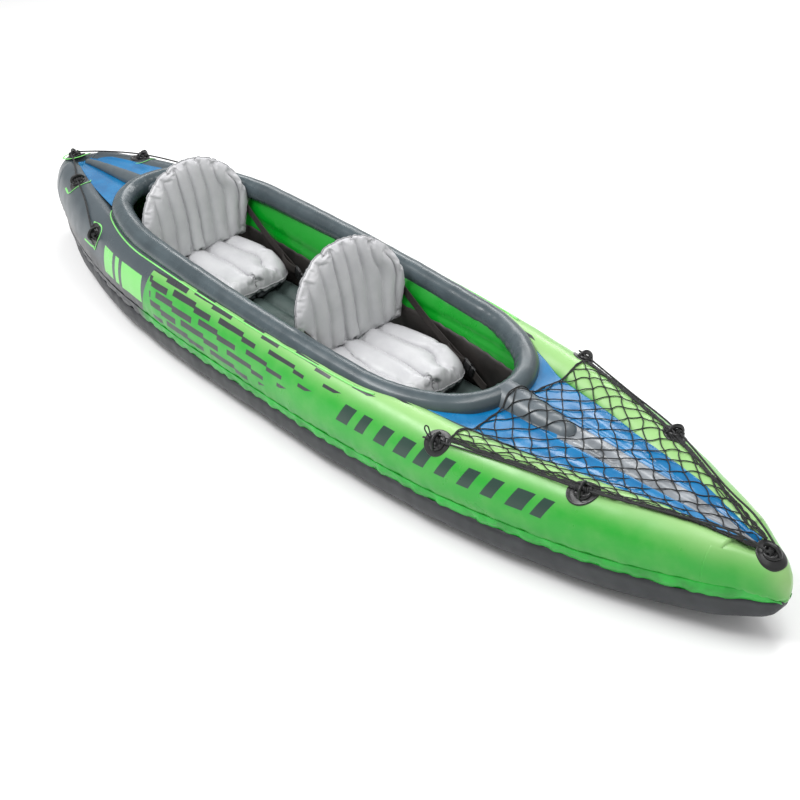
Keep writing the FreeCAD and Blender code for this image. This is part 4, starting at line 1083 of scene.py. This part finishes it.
class Pillow:
    """Two sheets sewn together round an edge and along weld lines, then blown up by a short cloth run."""

    def __init__(self, outline, welds, gap=0.0055):
        rim = resample(outline, gap, True)
        held = [tuple(q) for q in rim]
        links = [(i, (i + 1) % len(rim)) for i in range(len(rim))]
        for line in welds:
            first = len(held)
            row = resample(line, gap)
            held += [tuple(q) for q in row]
            links += [(first + i, first + i + 1) for i in range(len(row) - 1)]
        held = np.array(held)
        low, high = rim.min(0), rim.max(0)
        rng = np.random.RandomState(3)
        rows = int((high[1] - low[1]) / (gap * 0.866)) + 2
        cols = int((high[0] - low[0]) / gap) + 2
        fill = [(low[0] + (c + 0.5 * (r % 2)) * gap, low[1] + r * gap * 0.866)
                for r in range(rows) for c in range(cols)]
        fill = np.array(fill) + rng.uniform(-0.12, 0.12, (len(fill), 2)) * gap
        fill = fill[within(fill, rim)]
        fill = fill[nearest(fill, held) > 0.62 * gap]
        found = delaunay_2d_cdt([Vector(q) for q in np.vstack([held, fill])], links, [], 0, 1e-7)
        flat = np.array([tuple(q) for q in found[0]])
        tris = np.array([tuple(t) for t in found[2]])
        tris = tris[within(flat[tris].mean(1), rim)]
        a, b = flat[tris[:, 1]] - flat[tris[:, 0]], flat[tris[:, 2]] - flat[tris[:, 0]]
        flip = a[:, 0] * b[:, 1] - a[:, 1] * b[:, 0] < 0
        tris[flip] = tris[flip][:, ::-1]
        source = np.array([o[0] if len(o) else -1 for o in found[3]])
        self.on_rim = (source >= 0) & (source < len(rim))
        self.on_weld = (source >= len(rim)) & (source < len(held))
        order = {int(k): i for i, k in enumerate(source)}
        self.loop = [order[i] for i in range(len(rim)) if i in order]
        free = ~(self.on_rim | self.on_weld)
        n = len(flat)
        other = np.arange(n)
        other[free] = n + np.arange(free.sum())
        co = np.zeros((n + free.sum(), 3))
        co[:n, :2], co[n:, :2] = flat, flat[free]
        co[:n, 2][free], co[n:, 2] = 0.0006, -0.0006
        co = self.blow_up(co, np.vstack([tris, other[tris][:, ::-1]]))
        self.tris, self.flat, self.front, self.back = tris, flat, co[:n], co[other]
        self.inset = nearest(flat, rim)
        self.aside = nearest(flat, rim[rim[:, 1] > 0.12 * high[1]])

    @staticmethod
    def blow_up(co, faces, pressure=85.0, frames=9):
        mesh = bpy.data.meshes.new("pillow")
        mesh.from_pydata(co.tolist(), [], faces.tolist())
        obj = bpy.data.objects.new("pillow", mesh)
        scene = bpy.context.scene
        scene.collection.objects.link(obj)
        cloth = obj.modifiers.new("cloth", "CLOTH")
        sim = cloth.settings
        sim.quality = 5
        sim.mass = 0.02
        sim.tension_stiffness = sim.compression_stiffness = 15
        sim.shear_stiffness = 7.5
        sim.bending_stiffness = 0.05
        sim.use_pressure = True
        sim.uniform_pressure_force = pressure
        sim.effector_weights.gravity = 0
        cloth.collision_settings.use_collision = False
        cloth.point_cache.frame_start = 1
        cloth.point_cache.frame_end = frames
        for k in range(1, frames + 1):
            scene.frame_set(k)
        out = np.empty(len(co) * 3)
        obj.evaluated_get(bpy.context.evaluated_depsgraph_get()).data.vertices.foreach_get("co", out)
        bpy.data.objects.remove(obj)
        bpy.data.meshes.remove(mesh)
        scene.frame_set(1)
        return out.reshape(-1, 3)

    def skin(self, size, relief, dome, flat_back, blunt=0.0):
        """Front and back sheets fitted to a size (wide, from, to); relief and dome are heights of the front.

        blunt makes the first edge of v stand up more steeply than the others."""
        edge = self.front[self.on_rim]
        low, high = edge.min(0), edge.max(0)
        wide, start, end = size
        out = []
        for sheet, sign, scale in ((self.front, 1, 1.0), (self.back, -1, flat_back)):
            q = sheet.copy()
            q[:, 0] = (q[:, 0] - (low[0] + high[0]) / 2) / (high[0] - low[0]) * wide
            q[:, 1] = start + (q[:, 1] - low[1]) / (high[1] - low[1]) * (end - start)
            q[:, :2] += self.outline_shift(q, size)
            rise = np.clip(self.inset * (1 + blunt * step(self.aside - self.inset, 0.0, 0.03)) / 0.055, 0, 1)
            rise = np.sqrt(1 - (1 - rise) ** 2)
            tall = np.percentile(np.abs(sheet[:, 2]), 99.5)
            q[:, 2] = (sheet[:, 2] / tall * relief + sign * dome * rise) * scale
            q[self.on_weld, 2] += sign * 0.0004
            out.append(q)
        out[1][self.on_rim] = out[0][self.on_rim]
        return out

    def outline_shift(self, q, size):
        """Moves the blown-up edge back to the sewn outline, keeping its small puckers."""
        wide, start, end = size
        flat = self.flat[self.loop]
        low, high = flat.min(0), flat.max(0)
        want = (flat - (low + high) / 2) / (high - low) * [wide, end - start] + [0, (start + end) / 2]
        pull = want - q[self.loop, :2]
        pull = sum(np.roll(pull, k, 0) for k in range(-4, 5)) / 9
        gap = np.sqrt(((q[:, None, :2] - q[self.loop][None, :, :2]) ** 2).sum(2))
        near = np.exp(-(gap - gap.min(1)[:, None]) / 0.008)
        near /= near.sum(1)[:, None]
        return near @ pull * (1 - step(gap.min(1), 0.03, 0.12))[:, None]

    def piece(self, name, sheets, move, fill, mat, slot, body, cad):
        """One padded object out of the two sheets, in place of its CAD node."""
        front, back = sheets
        n = len(front)
        other = np.arange(n)
        keep = ~self.on_rim
        other[keep] = n + np.arange(keep.sum())
        co = np.vstack([front, back[keep]])
        faces = np.vstack([self.tris, other[self.tris][:, ::-1]])
        over = np.where(np.arange(len(co)) < n, 1.0, -1.0)
        over[:n][self.on_rim] = 0.0
        obj = finish_mesh(name, move(co).tolist(), faces.tolist(), mat, slot, body, {"over": over})
        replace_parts(obj, cad)

    def welt(self, name, sheet, move, body):
        """Trimmed edge of the weld, all round the pillow."""
        edge = sheet[self.loop].copy()
        away = edge - edge.mean(0)
        edge[:, :2] += away[:, :2] / np.linalg.norm(away[:, :2], axis=1, keepdims=True) * 0.0012
        line = resample(move(edge), 0.005, True)
        tube(name, line, 0.0022, MAT["welt"], None, body, sides=7, closed=True, squash=0.7)


def cushion_pillow():
    """Seat cushion blank, u across the boat and v from its rear edge forward."""
    w, long, r = 0.225, 0.410, 0.085
    loop = [(-w, 0.150), (-w * 0.93, 0.035), (-w * 0.80, 0.0), (w * 0.80, 0.0), (w * 0.93, 0.035), (w, 0.150)]
    loop += [(w - r + r * math.cos(a), long - r + r * math.sin(a)) for a in np.linspace(0, math.pi / 2, 9)]
    loop += [(-w + r - r * math.cos(a), long - r + r * math.sin(a)) for a in np.linspace(math.pi / 2, 0, 9)]
    welds = [[(u * w, 0.026), (u * w, long - 0.056 - 0.010 * (u == 0))] for u in (-0.5, 0.0, 0.5)]
    return Pillow(loop, welds, 0.0062)


def back_pillow():
    """Seat back blank, u across the boat and v up."""
    w, high, spring, foot = 0.262, 0.340, 0.118, 0.212
    loop = [(-foot, 0.0), (foot, 0.0)]
    loop += [(w * math.cos(a), spring + (high - spring) * math.sin(a)) for a in np.linspace(0, math.pi, 60)]
    welds = []
    for k in range(1, 8):
        u = (k / 4 - 1) * w
        top = spring + (high - spring) * math.sqrt(1 - (u / w) ** 2) - 0.024
        welds.append([(u, 0.010 if abs(u) < foot * 0.9 else 0.028), (u * 0.95, top)])
    return Pillow(loop, welds)


CUSHION_BLANK = cushion_pillow()
BACK_BLANK = back_pillow()


def cushion(seat, front):
    x0 = front - CUSHION_LONG
    seam = CUSHION_BASE + 0.040
    channel = 0.026            # height of the sewn channels; the rest of the crown is one dome

    def move(q):
        # the rear edge gives way round the inflation stem
        dent = (CUSHION_SPILL + 0.003) * bell(q[:, 0], 0.024) * step(x0 + 0.060 - q[:, 1], 0.0, 0.060)
        return points(q[:, 1] + dent, -q[:, 0], np.maximum(q[:, 2] + seam, CUSHION_BASE))

    size = (2 * CUSHION_HALF, x0 - CUSHION_SPILL, front)
    sheets = CUSHION_BLANK.skin(size, channel, CUSHION_TOP - seam - 0.024, 0.72, 2.2)
    CUSHION_BLANK.piece(seat + "_cushion_skin", sheets, move, 0.9, MAT["cushion"], "seat_grey", "hull",
                        seat + "_seat_cushion")
    CUSHION_BLANK.welt(seat + "_cushion_welt", sheets[0], move, "hull")


def lean(p, hinge):
    """Seat back's own frame to the boat's: reclined about its foot."""
    c, s = math.cos(RECLINE), math.sin(RECLINE)
    x = p[..., 0] * c - p[..., 2] * s
    z = p[..., 0] * s + p[..., 2] * c
    return points(x + hinge[0], p[..., 1], z + hinge[2])


def backrest(seat, hinge):
    def move_to(x):
        return lambda q: lean(points(q[:, 2] + x, q[:, 0], q[:, 1]), hinge)

    body = seat + "_backrest"
    pad = move_to(PAD_X)
    size = (2 * BACK_HALF, -0.010, BACK_HIGH)
    sheets = BACK_BLANK.skin(size, 0.021, 0.010, 0.10)
    BACK_BLANK.piece(seat + "_backrest_cushion", sheets, pad, 0.95, MAT["seat"], "seat_grey", body,
                     seat + "_backrest_pad")
    cover = BACK_BLANK.skin(size, 0.006, 0.001, 1.0)
    cover[0][:, 2] *= 0.10
    BACK_BLANK.piece(seat + "_back_cover", cover, move_to(COVER_X), 0.4, MAT["panel"], "seat_panel_dark", body,
                     seat + "_back_panel")
    BACK_BLANK.welt(seat + "_back_welt", sheets[0], pad, body)


def stem(name, at, axis, length, body="hull"):
    """Short moulded inflation stem with a rolled mouth and a blind bore."""
    prof = [(0.0090, -0.001), (0.0090, 0.0006), (0.0066, 0.0016), (0.0060, 0.003), (0.0060, length - 0.0014),
            (0.0056, length - 0.0002), (0.0046, length), (0.0037, length - 0.0006), (0.0037, 0.0030),
            (0.0004, 0.0026)]
    m = Vector(axis).normalized().to_track_quat("Z", "Y").to_matrix().to_4x4()
    m.translation = at
    joined(name, place([solid_grid(lathe(prof, 28))], m), MAT["clear"], "stopper_clear", body)


# ---- straps and buckles
SLOPE, TOE = math.radians(20), math.radians(7.3)
REACH, BUCKLE_LONG = 0.370, 0.030
STRAP_BACK, STRAP_SIDE, STRAP_Z = 0.042, 0.209, 0.305    # where it leaves the backrest, from the pivot
WEBBING = (0.037, 0.0018)  # width and thickness
TAIL = (0.036, 0.0016)


def strap_frame(start, s):
    """Origin at the seat back; X along the strap, Y its flat side's normal, Z across its width."""
    c, q = math.cos(SLOPE), math.sin(SLOPE)
    turn = Matrix.Rotation(-s * TOE, 3, "Z")
    x = turn @ Vector((c, 0, -q))
    z = turn @ Vector((q, 0, c))
    return axes_matrix(x, z.cross(x), z, start)


def webbing(name, line, size, m, body=None):
    """Flat strap along a line in the strap's frame, with rolled selvedges."""
    width, thick = size
    t = np.gradient(line, axis=0)
    cross = np.cross(t / np.linalg.norm(t, axis=1, keepdims=True), [0, 0, 1.0])
    cross /= np.linalg.norm(cross, axis=1, keepdims=True)
    v = np.linspace(-1, 1, 15)
    bulge = thick / 2 * (1 - 0.35 * v ** 8) + 0.00012 * np.cos(v * math.pi * 5)
    curl = 0.0010 * v ** 2
    across = line[:, None] + np.outer(v * width / 2, [0, 0, 1])
    up = across + (curl + bulge)[:, None] * cross[:, None]
    down = across + (curl - bulge)[:, None] * cross[:, None]
    m = np.array(m)
    grid = np.concatenate([up, down[:, ::-1]], 1) @ m[:3, :3].T + m[:3, 3]
    return loft(name, grid, MAT["webbing"], "webbing", body)


def slab(x0, length, half, thick, bulge, power, rows):
    """Rounded moulded block along X: a superellipse section with softened ends."""
    th = turn_about(36)
    c, s = np.cos(th), np.sin(th)
    cy = np.sign(c) * np.abs(c) ** (2 / power)
    sz = np.sign(s) * np.abs(s) ** (2 / power)
    out = []
    for t in np.arange(rows) / (rows - 1):
        x = x0 + length * (1 - math.cos(t * math.pi)) / 2
        w = half * (1 - 0.10 * abs(2 * t - 1) ** 8)
        h = (thick / 2 + bulge * math.sin(math.pi * t)) * (1 - 0.22 * abs(2 * t - 1) ** 6)
        out.append(points(x, h * cy, w * sz))
    return solid_grid(np.array(out))


def buckle(key, m):
    """Side-release buckle: a socket with windows and a ladder bar, and the clip that slides out of it."""
    x0, x1 = REACH, REACH + BUCKLE_LONG + 0.0010
    socket = [slab(x0 + 0.0005, 0.029, 0.0215, 0.0105, 0.0006, 6, 11),
              slab(x0 - 0.0065, 0.0045, 0.0205, 0.0050, 0, 6, 7),
              slab(x0 + 0.007, 0.016, 0.0026, 0.0122, 0, 4, 7)]
    clip = [slab(x1, 0.0150, 0.0212, 0.0105, 0.0004, 6, 9), slab(x1 + 0.0165, 0.0045, 0.0200, 0.0050, 0, 6, 7),
            slab(x1 - 0.020, 0.022, 0.0022, 0.0044, 0, 4, 7)]
    for s in (-1, 1):
        socket.append(arch([(x0 - 0.006, 0, s * 0.0185), (x0 + 0.004, 0.0012, s * 0.0205),
                            (x0 + 0.014, 0.0015, s * 0.0196), (x0 + 0.026, 0.0005, s * 0.0208)], 0.0032, 10))
        clip.append(arch([(x1 + 0.004, 0, s * 0.018), (x1 - 0.006, 0, s * 0.0165), (x1 - 0.016, 0, s * 0.0160),
                          (x1 - 0.0205, 0, s * 0.0140)], 0.0024, 10))
        clip.append(arch([(x1 + 0.012, 0, s * 0.0185), (x1 + 0.0205, 0, s * 0.0180)], 0.0028, 10))
        for x in x0 + 0.0065 + 0.0045 * np.arange(3):
            rib = [(x, s * y, z) for y, z in table((5.0, -13), (6.2, -4), (6.2, 4), (5.0, 13))]
            socket.append(arch(rib, 0.0010, 8))
    piece = joined(key + "_socket_moulding", place(socket, m), MAT["black"], "buckle_black")
    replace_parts(piece, key + "_buckle_socket")
    piece = joined(key + "_clip_moulding", place(clip, m), MAT["black"], "buckle_black", key + "_buckle_clip")
    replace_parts(piece, key + "_buckle_clip")


def strap(seat, word, s, hinge):
    key = "%s_%s" % (seat, word)
    m = strap_frame(Vector((hinge[0] - STRAP_BACK, s * STRAP_SIDE, STRAP_Z)), s)

    def blended(name, line, start, end, cad):
        piece = webbing(key + name, line, WEBBING, m)
        start, end = [tuple(m @ Vector((x, 0, 0))) for x in (start, end)]
        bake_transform(piece)
        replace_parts(piece, key + cad)

    x = np.linspace(-0.004, REACH - 0.003, 90)
    sag = 0.004 * np.sin(math.pi * np.clip(x / REACH, 0, 1))
    blended("_upper_strap", points(x, -s * sag, -sag), REACH * 0.94, 0.03, "_upper_webbing")
    low, long = REACH + BUCKLE_LONG + 0.0185, 0.068
    x = np.linspace(low - 0.002, low + long, 26)
    line = points(x, -s * 0.0015 * np.sin((x - low) * 40), 0)
    blended("_lower_strap", line, low + long - 0.002, low + 0.002, "_lower_webbing")
    # the strap's spare end, folded back from the buckle
    t = np.linspace(0, 1, 30)
    line = points(REACH - 0.004 - 0.085 * t, -s * (0.0035 + 0.010 * np.sin(math.pi * t * 0.9)), -0.006 * t)
    webbing(key + "_strap_tail", line, TAIL, m, "hull")
    buckle(key, m)


for seat, (front_x, set_back) in SEATS.items():
    pivot = (front_x - CUSHION_LONG + set_back, 0.0, PIVOT_Z)
    cushion(seat, front_x)
    backrest(seat, pivot)
    for word, s in SIDES.items():
        strap(seat, word, s, pivot)
    at = lean(np.array([-0.045, 0.060, 0.070]), (pivot[0], 0.0, BACK_STEM_Z))
    aft = (-math.cos(RECLINE), 0, -math.sin(RECLINE))
    stem(seat + "_backrest_stem", tuple(at), aft, 0.014, seat + "_backrest")
    stem(seat + "_cushion_stem", (front_x - CUSHION_LONG + 0.004, 0, 0.1714), (-1, 0, 0), 0.018)
rim_aft = (RIM_STERN * math.cos(RIM_PITCH) + 0.030, 0.0, RIM_Z - RIM_STERN * math.sin(RIM_PITCH))
stem("coaming_stem", rim_aft, (1, 0, 0), 0.022)


# ---- small patches and moulded CAD parts
def stern_patch(name, at, n, along):
    """Light green U-shaped reinforcement round a stern fitting."""
    radius = 0.047
    a = math.pi * (np.arange(25) / 24 - 0.5)
    line = np.vstack([(0.045, -radius), points(-radius * np.cos(a), radius * np.sin(a)), (0.045, radius)])
    m = seat_matrix(at, n, along)
    out = []
    for x, y in line:
        q = m @ Vector((x, y, 0))
        if "tip" not in name and abs(q.y) < float(lobe(q.x)[0]) - 0.001:
            q.z = float(tube_top(q.x, q.y))
        out.append(tuple(q + n * 0.0008))
    tube(name + "_patch", resample(out, 0.006), 0.0042, MAT["lime"], up=tuple(n), squash=0.35)


for name, site in SITES.items():
    if name.startswith("stern_fitting"):
        stern_patch(name, *site)
for node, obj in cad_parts.items():
    for word, key in {"valve": "black", "stopper": "clear", "skeg": "black"}.items():
        if word in node and not obj.hide_render:
            obj.data.materials.clear()
            obj.data.materials.append(MAT[key])


# ---- stage, light and camera
def studio():
    ambient = 0.62
    world = bpy.data.worlds.new("studio")
    bpy.context.scene.world = world
    world.use_nodes = True
    sky = world.node_tree.nodes["Background"].inputs
    sky[0].default_value, sky[1].default_value = (1, 1, 1, 1), ambient
    mesh = bpy.data.meshes.new("studio_floor")
    w = 14.0
    mesh.from_pydata([(-w, -w, -MM), (w, -w, -MM), (w, w, -MM), (-w, w, -MM)], [], [(0, 1, 2, 3)])
    floor = bpy.data.objects.new("studio_floor", mesh)
    bpy.context.scene.collection.objects.link(floor)
    p = Paint("floor_paint", 0.9)
    p.color((0.92, 0.92, 0.92))
    mesh.materials.append(p.mat)
    for name, at, aim, size, power in (("key", (-1.2, -2.2, 4.4), (0.1, 0, 0.2), (3.2, 1.4), 175),
                                       ("back", (-2.2, 3.0, 2.6), (0, 0, 0.2), (4.5, 0.9), 80),
                                       ("top", (1.6, 0.4, 3.6), (0.6, 0, 0.2), (2.6, 0.7), 60)):
        light = bpy.data.lights.new(name, "AREA")
        light.shape = "RECTANGLE"
        light.size, light.size_y = size
        light.energy = power
        obj = bpy.data.objects.new(name, light)
        obj.location = at
        obj.rotation_mode = "QUATERNION"
        obj.rotation_quaternion = (Vector(aim) - Vector(at)).to_track_quat("-Z", "Y")
        bpy.context.scene.collection.objects.link(obj)


def camera():
    yaw, pitch, roll = 2.4512, 0.591, -0.0544
    focal, frame_wide = 1428.69, 800    # both in pixels of the photograph's frame
    ahead = Vector((math.cos(pitch) * math.cos(yaw), math.cos(pitch) * math.sin(yaw), -math.sin(pitch)))
    right = ahead.cross(Vector((0, 0, 1))).normalized()
    up = right.cross(ahead)
    data = bpy.data.cameras.new("camera")
    data.sensor_width = 36.0
    data.lens = focal / frame_wide * data.sensor_width
    obj = bpy.data.objects.new("camera", data)
    c, s = math.cos(roll), math.sin(roll)
    obj.matrix_world = axes_matrix(right * c + up * s, up * c - right * s, -ahead, (3.2076, -2.4272, 2.6112))
    bpy.context.scene.collection.objects.link(obj)
    bpy.context.scene.camera = obj


studio()
camera()
bpy.context.scene.view_settings.view_transform = "Standard"
